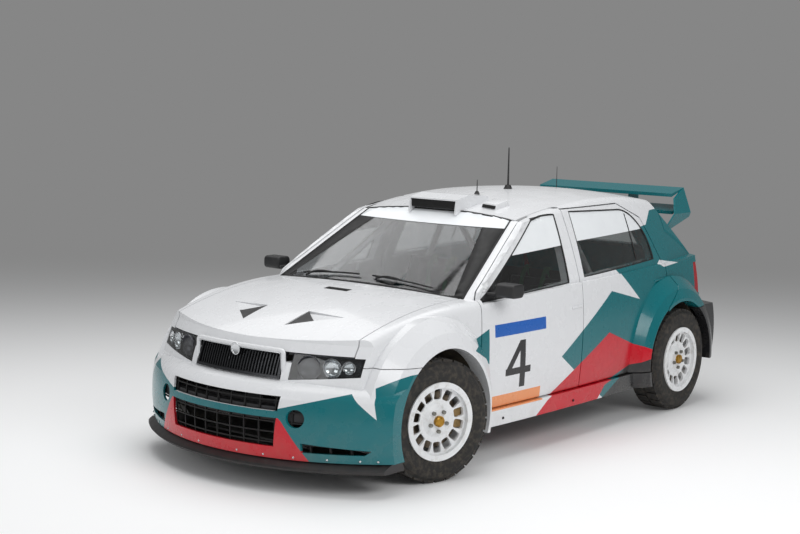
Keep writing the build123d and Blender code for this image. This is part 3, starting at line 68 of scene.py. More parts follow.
def startMaterial(name):
    made = bpy.data.materials.new(name)
    made.use_nodes = True
    tree = made.node_tree
    tree.nodes.clear()
    shader = addNode(tree, "BsdfPrincipled")
    addNode(tree, "OutputMaterial", links={0: shader.outputs[0]})
    return made, tree, shader


def overlay(tree, base, colour, mask):
    # one colour painted over what is there, where the mask is 1
    if isinstance(base, str):
        settings = {"data_type": "RGBA", 6: toLinear(base), 7: toLinear(colour)}
        return addNode(tree, "Mix", settings, {0: mask}).outputs[2]
    return addNode(tree, "Mix", {"data_type": "RGBA", 7: toLinear(colour)}, {0: mask, 6: base}).outputs[2]


def stretch(tree, value, low, high, toLow, toHigh):
    settings = {"From Min": low, "From Max": high, "To Min": toLow, "To Max": toHigh}
    return addNode(tree, "MapRange", settings, {0: value}).outputs[0]


def combine(tree, kind, first, second):
    return addNode(tree, "Math", {"operation": kind}, {0: first, 1: second}).outputs[0]


def noiseOf(tree, place, size, detail, roughness=0.5):
    # noise whose features are about this many millimetres across
    settings = {"Scale": 1 / (size * mm), "Detail": detail, "Roughness": roughness}
    return addNode(tree, "TexNoise", settings, {"Vector": place})


def insideMask(tree, point, corners):
    # 1 inside a convex outline; point holds (u, v, 1) in metres
    midU = sum(u for u, v in corners) / len(corners)
    midV = sum(v for u, v in corners) / len(corners)
    nearest = None
    for (u1, v1), (u2, v2) in zip(corners, corners[1:] + corners[:1]):
        size = math.hypot(v1 - v2, u2 - u1)
        a, b = (v1 - v2) / size, (u2 - u1) / size
        c = -(a * u1 + b * v1)
        flip = -1 if a * midU + b * midV + c < 0 else 1
        edge = {"operation": "DOT_PRODUCT", 1: (flip * a, flip * b, flip * c)}
        side = addNode(tree, "VectorMath", edge, {0: point}).outputs["Value"]
        nearest = side if nearest is None else combine(tree, "MINIMUM", nearest, side)
    return addNode(tree, "Math", {"operation": "GREATER_THAN", 1: 0.0}, {0: nearest}).outputs[0]


def settle():
    # position, turn and size go into the mesh
    bpy.ops.object.transform_apply(location=True, rotation=True, scale=True)


def smoothBy(degrees):
    bpy.ops.object.shade_smooth_by_angle(angle=math.radians(degrees))


def freshStart():
    if bpy.context.mode != "OBJECT":
        bpy.ops.object.mode_set(mode="OBJECT")
    bpy.ops.object.select_all(action="DESELECT")


def pick(*pieces):
    freshStart()
    for piece in pieces:
        piece.select_set(True)
    bpy.context.view_layer.objects.active = pieces[0]
    return pieces[0]


def editPiece(piece, mode="FACE"):
    pick(piece)
    bpy.ops.object.mode_set(mode="EDIT")
    bpy.ops.mesh.select_mode(type=mode)
    bpy.ops.mesh.select_all(action="DESELECT")
    bpy.ops.object.mode_set(mode="OBJECT")


def chooseFaces(piece, test):
    # leaves edit mode with only the faces that pass the test selected
    editPiece(piece)
    for face in piece.data.polygons:
        face.select = bool(test(face))
    bpy.ops.object.mode_set(mode="EDIT")


def applyModifiers(piece):
    pick(piece)
    for name in [m.name for m in piece.modifiers]:
        bpy.ops.object.modifier_apply(modifier=name)


def bevelled(piece, width, segments=2, angle=30):
    made = piece.modifiers.new("edge", "BEVEL")
    made.width, made.segments = width, segments
    made.limit_method, made.angle_limit = "ANGLE", math.radians(angle)
    applyModifiers(piece)
    smoothBy(40)
    return piece


def block(size):
    # a box of a size, at the origin, to shape further
    freshStart()
    bpy.ops.mesh.primitive_cube_add(size=1)
    made = bpy.context.object
    made.scale = size
    settle()
    return made


def thicken(piece, depth, offset, even=False):
    wall = piece.modifiers.new("wall", "SOLIDIFY")
    wall.thickness, wall.offset, wall.use_even_offset = depth, offset, even
    applyModifiers(piece)


def startEdit(piece):
    # edit mode with everything selected
    pick(piece)
    bpy.ops.object.mode_set(mode="EDIT")
    bpy.ops.mesh.select_all(action="SELECT")


def cutBy(piece, cuts, clearInner=True):
    # splits the mesh at each plane, given as a point and a normal
    startEdit(piece)   # all faces are chosen again before each cut
    for point, normal in cuts:
        bpy.ops.mesh.select_all(action="SELECT")
        bpy.ops.mesh.bisect(plane_co=point, plane_no=normal, clear_inner=clearInner)
    bpy.ops.object.mode_set(mode="OBJECT")


def disc(sides, radius, depth):
    # a plain cylinder that lies along x
    freshStart()
    bpy.ops.mesh.primitive_cylinder_add(vertices=sides, radius=radius, depth=depth, rotation=(0, math.pi / 2, 0))
    settle()
    return bpy.context.object


def named(piece, name, finish):
    pick(piece)
    settle()
    piece.name = name
    piece.data.name = name
    piece.data.materials.clear()
    piece.data.materials.append(finish)
    return piece


def stamp(source, name, matrix):
    made = bpy.data.objects.new(name, source.data.copy())
    made.data.name = name
    made.data.transform(matrix)
    if matrix.determinant() < 0:
        made.data.flip_normals()
    bpy.context.scene.collection.objects.link(made)
    return made


def fused(name, pieces, finish):
    pick(*pieces)
    if len(pieces) > 1:
        bpy.ops.object.join()
    return named(bpy.context.object, name, finish)


def cadCopy(node, name):
    # a welded copy of a node's mesh, for a piece that follows its surface
    made = stamp(nodes[node], name, Matrix.Identity(4))
    pick(made)
    bpy.ops.object.mode_set(mode="EDIT")
    bpy.ops.mesh.select_mode(type="FACE")
    bpy.ops.mesh.select_all(action="SELECT")
    bpy.ops.mesh.remove_doubles(threshold=0.01 * mm)
    bpy.ops.object.mode_set(mode="OBJECT")
    return made


def onSkin(node, start, direction):
    # where a ray from start first meets a node's surface
    hit, place, normal, index = nodes[node].ray_cast(Vector(start), Vector(direction))
    if not hit:
        raise RuntimeError("nothing of " + node + " lies there: " + str(start))
    return place, normal


def splineMesh(name, points, radius, rounds, closed=False, flat=None):
    # a smooth line of points, given a round section or a flat one
    curve = bpy.data.curves.new(name, "CURVE")
    curve.dimensions = "3D"
    spline = curve.splines.new("NURBS")
    spline.points.add(len(points) - 1)
    for point, spot in zip(spline.points, points):
        point.co = (*spot, 1)
    spline.order_u = 3
    spline.use_cyclic_u, spline.use_endpoint_u = closed, not closed
    curve.resolution_u, curve.bevel_depth = rounds, radius
    curve.bevel_resolution = 1 if flat else 4
    curve.extrude = flat / 2 if flat else 0
    curve.use_fill_caps = not (flat or closed)
    made = bpy.data.objects.new(name, curve)
    bpy.context.scene.collection.objects.link(made)
    pick(made)
    bpy.ops.object.convert(target="MESH")
    smoothBy(50)
    return bpy.context.object


def tubeAlong(name, points, radius, finish, flat=None):
    return named(splineMesh(name, points, radius, 6, flat=flat), name, finish)


bothSides = ((1, "left"), (-1, "right"))

# Livery.
# Outlines of the colour bands, as (distance ahead of the middle, height) on the car's side.
livery = {
    "white": "#dfe0e2", "teal": "#00686f", "red": "#c3021e", "dark": "#232325", "blue": "#145cb2",
    "orange": "#e8955f", "number": "#1a1a1c",
}
sideBands = [
    ("teal", [(0.017, 0.505), (-0.545, 0.832), (-0.888, 0.748), (-2.2, 0.43), (-2.2, 0.1), (-0.574, 0.1)]),
    ("teal", [(-0.888, 0.748), (-0.631, 0.96), (-2.2, 1.02), (-2.2, 0.40)]),
    ("teal", [(-1.08, 1.17), (-1.20, 1.18), (-2.2, 1.18), (-2.2, 0.93), (-1.08, 0.93)]),
    ("teal", [(-1.20, 1.175), (-1.33, 1.262), (-2.2, 1.30), (-2.2, 1.17)]),
    ("white", [(-1.20, 0.934), (-1.25, 0.957), (-1.47, 0.925), (-1.25, 0.915)]),
    ("dark", [(-0.30, 0.19), (-0.392, 0.26), (-0.95, 0.44), (-1.30, 0.60), (-1.36, 0.60), (-1.36, 0.19)]),
    ("red", [(-0.123, 0.409), (-0.507, 0.585), (-0.954, 0.424), (-0.978, 0.396), (-0.392, 0.26), (0.166, 0.272)]),
    ("red", [(0.166, 0.272), (-0.123, 0.409), (-0.454, 0.276), (-0.36, 0.19), (0.29, 0.19)]),
    ("teal", [(0.93, 0.66), (0.701, 0.743), (0.701, 0.549)]),
    ("blue", [(0.652, 0.688), (0.652, 0.757), (0.18, 0.757), (0.18, 0.688)]),
    ("orange", [(0.686, 0.285), (0.686, 0.362), (0.216, 0.362), (0.216, 0.285)]),
]
numberMiddle = 0.44
numberBands = [
    ("number", [(0.375, 0.65), (0.425, 0.65), (0.425, 0.385), (0.375, 0.385)]),
    ("number", [(0.555, 0.462), (0.555, 0.50), (0.325, 0.50), (0.325, 0.462)]),
    ("number", [(0.425, 0.65), (0.378, 0.65), (0.506, 0.49), (0.555, 0.49)]),
]
# The same for the nose, as (distance from the middle line, height).
noseBands = [
    ("teal", [(0.36, 0.422), (0.70, 0.521), (0.824, 0.399), (0.86, 0.10), (0.36, 0.10)]),
    ("teal", [(0.824, 0.399), (0.792, 0.551), (0.88, 0.605), (1.0, 0.62), (1.0, 0.10), (0.887, 0.10)]),
    ("teal", [(0.824, 0.399), (0.90, 0.399), (0.90, 0.10), (0.824, 0.10)]),
    ("red", [(0.0, 0.10), (0.58, 0.10), (0.575, 0.195), (0.405, 0.362), (0.39, 0.384), (0.0, 0.384)]),
    ("teal", [(0.0, 0.381), (0.42, 0.381), (0.42, 0.415), (0.0, 0.415)]),
]


def bandsOn(tree, base, plane):
    place = addNode(tree, "TexCoord").outputs["Object"]
    apart = addNode(tree, "SeparateXYZ", links={0: place})
    x, y, z = apart.outputs
    reach = addNode(tree, "Math", {"operation": "ABSOLUTE"}, {0: y}).outputs[0]
    if plane == "nose":
        point = addNode(tree, "CombineXYZ", {2: 1.0}, {0: reach, 1: z}).outputs[0]
        for name, corners in noseBands:
            base = overlay(tree, base, livery[name], insideMask(tree, point, corners))
        return base
    point = addNode(tree, "CombineXYZ", {2: 1.0}, {0: x, 1: z}).outputs[0]
    outside = addNode(tree, "Math", {"operation": "GREATER_THAN", 1: 0.5}, {0: reach}).outputs[0]
    for name, corners in sideBands:
        mask = combine(tree, "MULTIPLY", insideMask(tree, point, corners), outside)
        base = overlay(tree, base, livery[name], mask)
    sign = addNode(tree, "Math", {"operation": "SIGN"}, {0: y}).outputs[0]   # the number reads right on both sides
    off = addNode(tree, "Math", {"operation": "SUBTRACT", 1: numberMiddle}, {0: x}).outputs[0]
    off = combine(tree, "MULTIPLY", off, sign)
    turned = addNode(tree, "Math", {"operation": "ADD", 1: numberMiddle}, {0: off}).outputs[0]
    point = addNode(tree, "CombineXYZ", {2: 1.0}, {0: turned, 1: z}).outputs[0]
    for name, corners in numberBands:
        mask = combine(tree, "MULTIPLY", insideMask(tree, point, corners), outside)
        base = overlay(tree, base, livery[name], mask)
    return base


# Finishes.

paint = {"dust": "#8d8373", "dustLine": (0.55, 0.16), "dustMost": 0.16, "roughness": (0.22, 0.34),
         "coat": 0.3, "coatRoughness": 0.06, "specular": 0.35, "peel": 0.05}


def paintFinish(name, base, plane=None):
    # two-pack gloss paint, sprayed and polished: deep clear coat, faint orange peel, road dust low down
    made, tree, shader = startMaterial(name)
    colour = bandsOn(tree, base, plane) if plane else base
    place = addNode(tree, "TexCoord").outputs["Object"]
    height = addNode(tree, "SeparateXYZ", links={0: place}).outputs[2]
    cloud = noiseOf(tree, place, 140, 5.0, 0.62)
    low = stretch(tree, height, *paint["dustLine"], 0.0, paint["dustMost"])
    dust = combine(tree, "MULTIPLY", low, stretch(tree, cloud.outputs[0], 0.42, 0.70, 0.0, 1.0))
    tree.links.new(overlay(tree, colour, paint["dust"], dust), shader.inputs["Base Color"])
    tree.links.new(stretch(tree, cloud.outputs[0], 0.3, 0.75, *paint["roughness"]), shader.inputs["Roughness"])
    peel = noiseOf(tree, place, 5, 1.0)
    bump = addNode(tree, "Bump", {"Strength": paint["peel"], "Distance": 0.1 * mm}, {"Height": peel.outputs[0]})
    tree.links.new(bump.outputs[0], shader.inputs["Normal"])
    shader.inputs["Coat Weight"].default_value = paint["coat"]
    shader.inputs["Specular IOR Level"].default_value = paint["specular"]
    shader.inputs["Coat Roughness"].default_value = paint["coatRoughness"]
    return made


# Each: colour, worn colour, share worn, roughness low and high, metal,
# size of the grain, size of the blotches and depth of the grain, all three in millimetres.
plainFinishes = {
    # moulded ABS with a fine grain: dull black with paler dusty patches
    "mouldedAbs": ("#1d1d1f", "#3a3936", 0.35, 0.42, 0.62, 0.0, 1.5, 60, 0.10),
    # carbon laminate in satin lacquer: near black, soft highlights
    "carbonLaminate": ("#232122", "#37302c", 0.40, 0.28, 0.44, 0.0, 4.0, 45, 0.05),
    # tyre rubber, dusty from gravel: charcoal with brown dust between the blocks
    "tyreRubber": ("#242322", "#5d554b", 0.55, 0.74, 0.92, 0.0, 2.5, 26, 0.35),
    # EPDM door seal: soft matt black
    "sealRubber": ("#141415", "#242424", 0.30, 0.55, 0.70, 0.0, 1.2, 30, 0.06),
    # cast vinyl film, laid by hand: even white with a soft sheen
    "vinylFilm": ("#e9ecee", "#dfe2e5", 0.40, 0.30, 0.42, 0.0, 8.0, 120, 0.03),
    # anodised aluminium, gold: the wheel centres
    "goldAnodised": ("#b58a3c", "#8f6a2c", 0.35, 0.30, 0.48, 1.0, 1.0, 18, 0.05),
    # cast alloy caliper with baked brown-gold paint
    "caliperEnamel": ("#8e7448", "#5d4a30", 0.45, 0.40, 0.60, 0.3, 2.0, 22, 0.10),
    # zinc-plated steel: grey with a yellow cast
    "platedSteel": ("#8d8c86", "#6f6a5e", 0.45, 0.34, 0.55, 1.0, 1.5, 25, 0.06),
    # forged steel arms in chassis black
    "chassisBlack": ("#222224", "#4a443c", 0.40, 0.45, 0.70, 0.2, 3.0, 50, 0.12),
    # injection-moulded inner arch liner, coated with brown road dust
    "archLiner": ("#3b342a", "#6d5f47", 0.60, 0.72, 0.92, 0.0, 3.0, 70, 0.35),
    # powder-coated cage tube: pale grey, slightly pebbled
    "cagePowder": ("#c9cccd", "#aeb1b2", 0.35, 0.38, 0.52, 0.0, 1.2, 60, 0.08),
    # glass-fibre seat shell in satin black gel coat
    "seatGelCoat": ("#1b1b1d", "#2c2b2c", 0.30, 0.34, 0.50, 0.0, 6.0, 70, 0.06),
    # flocked dash top: very matt, kills reflections
    "dashFlock": ("#18181a", "#262527", 0.40, 0.85, 0.96, 0.0, 1.0, 40, 0.12),
    # chromed moulding: bright, with slight haze
    "chromedTrim": ("#d8dadc", "#b9bcc0", 0.20, 0.08, 0.18, 1.0, 3.0, 40, 0.01),
    # lamp housing: vacuum-metallised plastic
    "lampReflector": ("#4c4e53", "#3a3b40", 0.30, 0.16, 0.28, 0.6, 5.0, 30, 0.03),
    "lampSmoke": ("#5b5b61", "#4a4a50", 0.30, 0.26, 0.36, 0.3, 4.0, 40, 0.03),
    # woven wire; near black, so that the same colour also paints the shade behind the openings
    "meshBlackAndShade": ("#040404", "#080808", 0.35, 0.60, 0.80, 0.0, 2.0, 30, 0.15),
    # polished rolled aluminium plate, scraped by stones
    "skidAlloy": ("#9b9c9d", "#77736c", 0.50, 0.35, 0.60, 1.0, 2.5, 35, 0.20),
    # grey cast iron, bare
    "castBlock": ("#55534f", "#6b5d4c", 0.50, 0.60, 0.82, 0.6, 3.0, 40, 0.30),
    # stainless pipe, straw coloured by heat
    "exhaustSteel": ("#8f877b", "#6e5a43", 0.50, 0.30, 0.50, 1.0, 2.0, 30, 0.06),
    # acrylic tail lamp, moulded in red
    "redAcrylic": ("#a8121c", "#7d0d15", 0.35, 0.10, 0.20, 0.0, 3.0, 25, 0.08),
    # sound pads and painted floor inside the cabin
    "cabinFloor": ("#2a2a2c", "#3c3a36", 0.45, 0.60, 0.85, 0.0, 4.0, 80, 0.20),
    # satin silver slats of the grille
    "slatSilver": ("#3c3d40", "#242527", 0.35, 0.22, 0.38, 0.7, 2.0, 30, 0.03),
    # domed steel screw, passivated bright
    "brightScrew": ("#d9dadb", "#b3b4b6", 0.30, 0.18, 0.32, 1.0, 1.0, 8, 0.02),
    # mirror glass
    "mirrorSilver": ("#dfe3e6", "#cfd4d8", 0.15, 0.02, 0.06, 1.0, 6.0, 60, 0.0),
}


def plainFinish(name, spec):
    colour, worn, share, smoothest, roughest, metal, grain, blotch, depth = spec
    made, tree, shader = startMaterial(name)
    place = addNode(tree, "TexCoord").outputs["Object"]
    patches = noiseOf(tree, place, blotch, 5.0, 0.6)
    mask = stretch(tree, patches.outputs[0], 0.44, 0.70, 0.0, share)
    tree.links.new(overlay(tree, colour, worn, mask), shader.inputs["Base Color"])
    tree.links.new(stretch(tree, patches.outputs[0], 0.3, 0.7, smoothest, roughest), shader.inputs["Roughness"])
    shader.inputs["Metallic"].default_value = metal
    fine = noiseOf(tree, place, grain, 2.0)
    if depth:
        bump = addNode(tree, "Bump", {"Strength": 0.5, "Distance": depth * mm}, {"Height": fine.outputs[0]})
        tree.links.new(bump.outputs[0], shader.inputs["Normal"])
    return made


def glassFinish(name, tint, roughness):
    # toughened float glass: clear with a faint body tint, light dust that softens the reflections
    made, tree, shader = startMaterial(name)
    place = addNode(tree, "TexCoord").outputs["Object"]
    film = noiseOf(tree, place, 90, 4.0)
    tree.links.new(overlay(tree, tint, "#ffffff", stretch(tree, film.outputs[0], 0.5, 0.8, 0.0, 0.3)),
                   shader.inputs["Base Color"])
    haze = stretch(tree, film.outputs[0], 0.4, 0.8, roughness, roughness + 0.05)
    tree.links.new(haze, shader.inputs["Roughness"])
    shader.inputs["Transmission Weight"].default_value = 1.0
    shader.inputs["IOR"].default_value = 1.45
    return made


def wovenFinish(name, light, dark, thread, sheen):
    # woven cloth or webbing: rows of threads, drawn a little coarser than life so that they show
    made, tree, shader = startMaterial(name)
    place = addNode(tree, "TexCoord").outputs["Object"]
    rows = []
    for direction in ("X", "Z"):
        settings = {"bands_direction": direction, "Scale": 0.16 / (thread * mm), "Distortion": 0.6}
        rows.append(addNode(tree, "TexWave", settings, {"Vector": place}).outputs[1])
    cloth = combine(tree, "MULTIPLY", *rows)
    tree.links.new(overlay(tree, dark, light, cloth), shader.inputs["Base Color"])
    bump = addNode(tree, "Bump", {"Strength": 0.5, "Distance": 0.4 * mm}, {"Height": cloth})
    tree.links.new(bump.outputs[0], shader.inputs["Normal"])
    shader.inputs["Roughness"].default_value = 0.85
    shader.inputs["Sheen Weight"].default_value = sheen
    return made


brakeDisc = {"depth": 46 * mm, "reach": 156 * mm}


def wheelFinish(name, middle, axle):
    # cast wheel in white powder coat; the brake disc behind it, in the same node, is bare iron with dust
    made, tree, shader = startMaterial(name)
    place = addNode(tree, "TexCoord").outputs["Object"]
    fromHub = addNode(tree, "VectorMath", {"operation": "SUBTRACT", 1: middle}, {0: place}).outputs[0]
    depth = addNode(tree, "VectorMath", {"operation": "DOT_PRODUCT", 1: axle}, {0: fromHub}).outputs["Value"]
    reach = addNode(tree, "VectorMath", {"operation": "LENGTH"}, {0: fromHub}).outputs["Value"]
    inner = addNode(tree, "Math", {"operation": "LESS_THAN", 1: brakeDisc["depth"]}, {0: depth}).outputs[0]
    small = addNode(tree, "Math", {"operation": "LESS_THAN", 1: brakeDisc["reach"]}, {0: reach}).outputs[0]
    disc = combine(tree, "MULTIPLY", inner, small)
    cloud = noiseOf(tree, place, 35, 5.0, 0.65)
    dust = stretch(tree, cloud.outputs[0], 0.50, 0.78, 0.0, 0.45)
    colour = overlay(tree, "#e6e7e8", "#9b9284", dust)
    tree.links.new(overlay(tree, colour, "#6a5f52", disc), shader.inputs["Base Color"])
    tree.links.new(stretch(tree, cloud.outputs[0], 0.3, 0.8, 0.30, 0.50), shader.inputs["Roughness"])
    tree.links.new(stretch(tree, disc, 0.0, 1.0, 0.0, 0.8), shader.inputs["Metallic"])
    pebble = noiseOf(tree, place, 2, 1.0)
    bump = addNode(tree, "Bump", {"Strength": 0.15, "Distance": 0.1 * mm}, {"Height": pebble.outputs[0]})
    tree.links.new(bump.outputs[0], shader.inputs["Normal"])
    return made


finishes = {name: plainFinish(name, spec) for name, spec in plainFinishes.items()}
finishes["whiteGloss"] = paintFinish("whiteGloss", livery["white"])
finishes["sideGloss"] = paintFinish("sideGloss", livery["white"], "side")
finishes["noseGloss"] = paintFinish("noseGloss", livery["white"], "nose")
finishes["tealGloss"] = paintFinish("tealGloss", livery["teal"])
finishes["darkGloss"] = paintFinish("darkGloss", livery["dark"])
finishes["screenGlass"] = glassFinish("screenGlass", "#dfe1e4", 0.03)
finishes["sideGlass"] = glassFinish("sideGlass", "#e4e8e8", 0.02)
finishes["lensPolycarbonate"] = glassFinish("lensPolycarbonate", "#f1f4f5", 0.01)
finishes["seatCloth"] = wovenFinish("seatCloth", "#2b2b2f", "#121214", 2.0, 0.3)
finishes["beltWebbing"] = wovenFinish("beltWebbing", "#2f8f52", "#1b5e35", 1.6, 0.2)

nodeFinishes = {
    "floor_pan": "cabinFloor", "front_bumper": "noseGloss", "intake_grille": "meshBlackAndShade",
    "front_splitter": "carbonLaminate", "rear_bumper": "darkGloss", "tail_lamps": "redAcrylic",
    "windscreen": "screenGlass", "roof_panel": "whiteGloss", "roof_scoop": "whiteGloss", "hood": "whiteGloss",
    "grille": "slatSilver", "tailgate": "tealGloss", "rear_glass": "sideGlass", "rear_wing": "tealGloss",
    "engine_block": "castBlock", "front_axle": "chassisBlack", "rear_axle": "chassisBlack", "seats": "seatGelCoat",
    "roll_cage": "cagePowder", "dashboard": "dashFlock", "aerials": "mouldedAbs", "exhaust": "exhaustSteel",
    "sump_guard": "skidAlloy", "wipers": "mouldedAbs", "front_lamps": "lampReflector",
}
for s, side in bothSides:
    nodeFinishes.update({
        "side_frame_" + side: "sideGloss", "front_fender_" + side: "sideGloss", "front_door_" + side: "sideGloss",
        "rear_door_" + side: "sideGloss", "front_door_glass_" + side: "sideGlass",
        "rear_door_glass_" + side: "sideGlass", "mirror_" + side: "carbonLaminate",
        "knuckle_" + side: "caliperEnamel", "tyre_front_" + side: "tyreRubber",
        "tyre_rear_" + side: "tyreRubber"})
for node, finish in nodeFinishes.items():
    nodes[node].data.materials.clear()
    nodes[node].data.materials.append(finishes[finish])
print("finishes ready:", len(finishes))

# Wheels.
wheels = {
    "axleFront": 1.171, "axleRear": -1.291, "hubHeight": 0.325, "hubReach": 0.7775, "kingpin": 0.06,
    "steer": 15, "faceDepth": 78.5 * mm, "boltCircle": 54 * mm, "boltCount": 5,
    "bolt": (11 * mm, 18 * mm), "boltProud": 6 * mm, "cap": (29 * mm, 20 * mm), "capProud": 8 * mm,
    "capRim": (6 * mm, -4 * mm), "capDome": (5 * mm, 5 * mm),
}
wheelSpots = {}
for s, side in bothSides:
    turn = math.radians(wheels["steer"])
    axle = Vector((s * math.sin(turn), s * math.cos(turn), 0))
    pin = Vector((wheels["axleFront"], s * (wheels["hubReach"] - wheels["kingpin"]), wheels["hubHeight"]))
    wheelSpots["front_" + side] = (pin + axle * wheels["kingpin"], axle)
    rear = Vector((wheels["axleRear"], s * wheels["hubReach"], wheels["hubHeight"]))
    wheelSpots["rear_" + side] = (rear, Vector((0, s, 0)))

boltBlank = disc(6, *wheels["bolt"])
bevelled(boltBlank, 1.5 * mm)
capBlank = disc(40, *wheels["cap"])
chooseFaces(capBlank, lambda face: face.normal.x > 0.9)
for width, depth in (wheels["capRim"], wheels["capDome"]):
    bpy.ops.mesh.inset(thickness=width, depth=depth)
bpy.ops.object.mode_set(mode="OBJECT")
bevelled(capBlank, 1.2 * mm)
for spot, (middle, axle) in wheelSpots.items():
    nodes["rim_" + spot].data.materials.clear()
    nodes["rim_" + spot].data.materials.append(wheelFinish("wheelPowder_" + spot, middle, axle))
    pose = Matrix.Translation(middle) @ Matrix.Rotation(math.atan2(axle.y, axle.x), 4, "Z")
    bolts = []
    for i in range(wheels["boltCount"]):
        around = Matrix.Rotation(2 * math.pi * (i + 0.5) / wheels["boltCount"], 4, "X")
        seat = Matrix.Translation((wheels["faceDepth"] + wheels["boltProud"], 0, wheels["boltCircle"]))
        bolts.append(stamp(boltBlank, "bolt", pose @ around @ seat))
    bolts = fused("wheelBolts_" + spot, bolts, finishes["platedSteel"])
    cap = stamp(capBlank, "cap", pose @ Matrix.Translation((wheels["faceDepth"] + wheels["capProud"], 0, 0)))
    cap = named(cap, "wheelCap_" + spot, finishes["goldAnodised"])
    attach(bolts, "wheel_" + spot)
    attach(cap, "wheel_" + spot)
bpy.data.objects.remove(boltBlank)
bpy.data.objects.remove(capBlank)
print("wheels done")

# Arch liners.
arch = {"radius": 374 * mm, "inner": 0.48, "outer": 0.80, "wall": 2 * mm, "foot": 0.30}
for place in ("axleFront", "axleRear"):
    for s, side in bothSides:
        freshStart()
        bpy.ops.mesh.primitive_cylinder_add(
            vertices=64, radius=arch["radius"], depth=arch["outer"] - arch["inner"],
            end_fill_type="NOTHING", rotation=(math.pi / 2, 0, 0))
        liner = bpy.context.object
        liner.location = (wheels[place], s * (arch["outer"] + arch["inner"]) / 2, wheels["hubHeight"])
        settle()
        cutBy(liner, [((0, 0, arch["foot"]), (0, 0, 1))])
        thicken(liner, arch["wall"], 1)
        smoothBy(35)
        liner = named(liner, "archLiner_" + place[4:] + "_" + side, finishes["archLiner"])
        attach(liner, "root")
print("arch liners done")

# Head lamps.
lamps = {
    "lensWall": 3 * mm, "wall": 1.5 * mm, "flatten": 0.7, "setBack": 22 * mm, "facing": 0.12,
    "bowX": 0.292, "bowRadius": 1.560,
    # each bowl: distance from the middle line, radius in millimetres, height, finish
    "bowls": ((0.448, 62, 0.622, "lampSmoke"), (0.570, 48, 0.632, "chromedTrim"),
              (0.652, 32, 0.640, "chromedTrim")),
}
lens = cadCopy("front_lamps", "lampLens")


def onLens(face):
    n = face.normal
    flat = abs(n.y) > 0.9995 or abs(n.z) > 0.9995
    return not flat and n.x > lamps["facing"]


chooseFaces(lens, onLens)
bpy.ops.mesh.separate(type="SELECTED")
bpy.ops.object.mode_set(mode="OBJECT")
lensParts = [o for o in bpy.context.selected_objects if o != lens]
housing, lens = lens, lensParts[0]
thicken(lens, lamps["lensWall"], -1)
smoothBy(30)
lens = named(lens, "lampLens", finishes["lensPolycarbonate"])
startEdit(housing)
bpy.ops.mesh.flip_normals()
bpy.ops.object.mode_set(mode="OBJECT")
thicken(housing, lamps["wall"], -1)
housing = named(housing, "lampHousing", finishes["lampReflector"])
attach(lens, "root")
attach(housing, "root")
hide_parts("front_lamps")
for reach, size, height, finish in lamps["bowls"]:
    freshStart()
    bpy.ops.mesh.primitive_uv_sphere_add(segments=32, ring_count=16, radius=size * mm,
                                         rotation=(0, math.pi / 2, 0))
    bowl = bpy.context.object
    settle()
    startEdit(bowl)
    bpy.ops.mesh.bisect(plane_co=(0, 0, 0), plane_no=(1, 0, 0), clear_outer=True)
    bpy.ops.mesh.select_all(action="SELECT")
    bpy.ops.transform.resize(value=(lamps["flatten"], 1, 1))
    bpy.ops.mesh.flip_normals()
    bpy.ops.object.mode_set(mode="OBJECT")
    thicken(bowl, lamps["wall"], -1)
    smoothBy(35)
    lean = math.asin(reach / lamps["bowRadius"])
    front = lamps["bowX"] + lamps["bowRadius"] * math.cos(lean) - lamps["setBack"]
    bowls = []
    for s, side in bothSides:
        place = Matrix.Translation((front, s * reach, height))
        bowls.append(stamp(bowl, "bowl", place @ Matrix.Rotation(s * lean, 4, "Z")))
    bpy.data.objects.remove(bowl)
    bowls = fused("lampBowls_%d" % round(reach * 1000), bowls, finishes[finish])
    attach(bowls, "root")
print("lamps done")

# Films on the glass.
filmWall = 0.8 * mm
films = {
    # each: node, body, point on the film's lower edge, normal of that edge's plane
    "sunStrip": ("windscreen", "root", (0, 0, 1.238), (0, 0, 1)),
    "frontFilm_left": ("front_door_glass_left", "front_door_left", (0.0, 0, 1.122), (0.048, 0, 1)),
    "frontFilm_right": ("front_door_glass_right", "front_door_right", (0.0, 0, 1.122), (0.048, 0, 1)),
    "rearFilm_left": ("rear_door_glass_left", "rear_door_left", (0.0, 0, 1.135), (0.022, 0, 1)),
    "rearFilm_right": ("rear_door_glass_right", "rear_door_right", (0.0, 0, 1.135), (0.022, 0, 1)),
}


def outerFace(node):
    # the panes lean out and up; their edges are cut square to the outline
    if node == "windscreen":
        return lambda face: face.normal.z > 0.3 and face.normal.x > 0.2
    if node == "rear_glass":
        return lambda face: face.normal.z > 0.2 and face.normal.x < -0.3
    s = 1 if node.endswith("left") else -1
    return lambda face: s * face.normal.y > 0.5


def keepOnly(piece, test):
    chooseFaces(piece, test)
    bpy.ops.mesh.select_all(action="INVERT")
    bpy.ops.mesh.delete(type="FACE")
    bpy.ops.object.mode_set(mode="OBJECT")


for name, (node, body, point, normal) in films.items():
    film = cadCopy(node, name)
    keepOnly(film, outerFace(node))
    cutBy(film, [(point, normal)])
    thicken(film, filmWall, 1)
    smoothBy(30)
    film = named(film, name, finishes["vinylFilm"])
    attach(film, body)

# Front pillars: a painted skin from the windscreen's edge to the door.
pillar = {
    "foot": 0.885, "top": 1.278, "rows": 16, "wall": 18 * mm, "seam": 5 * mm, "swell": 4 * mm,
    # share of the way across, share of the swell
    "profile": ((0.08, 0.2), (0.3, 0.8), (0.55, 1.0), (0.8, 0.8), (1.0, 0.0)),
}


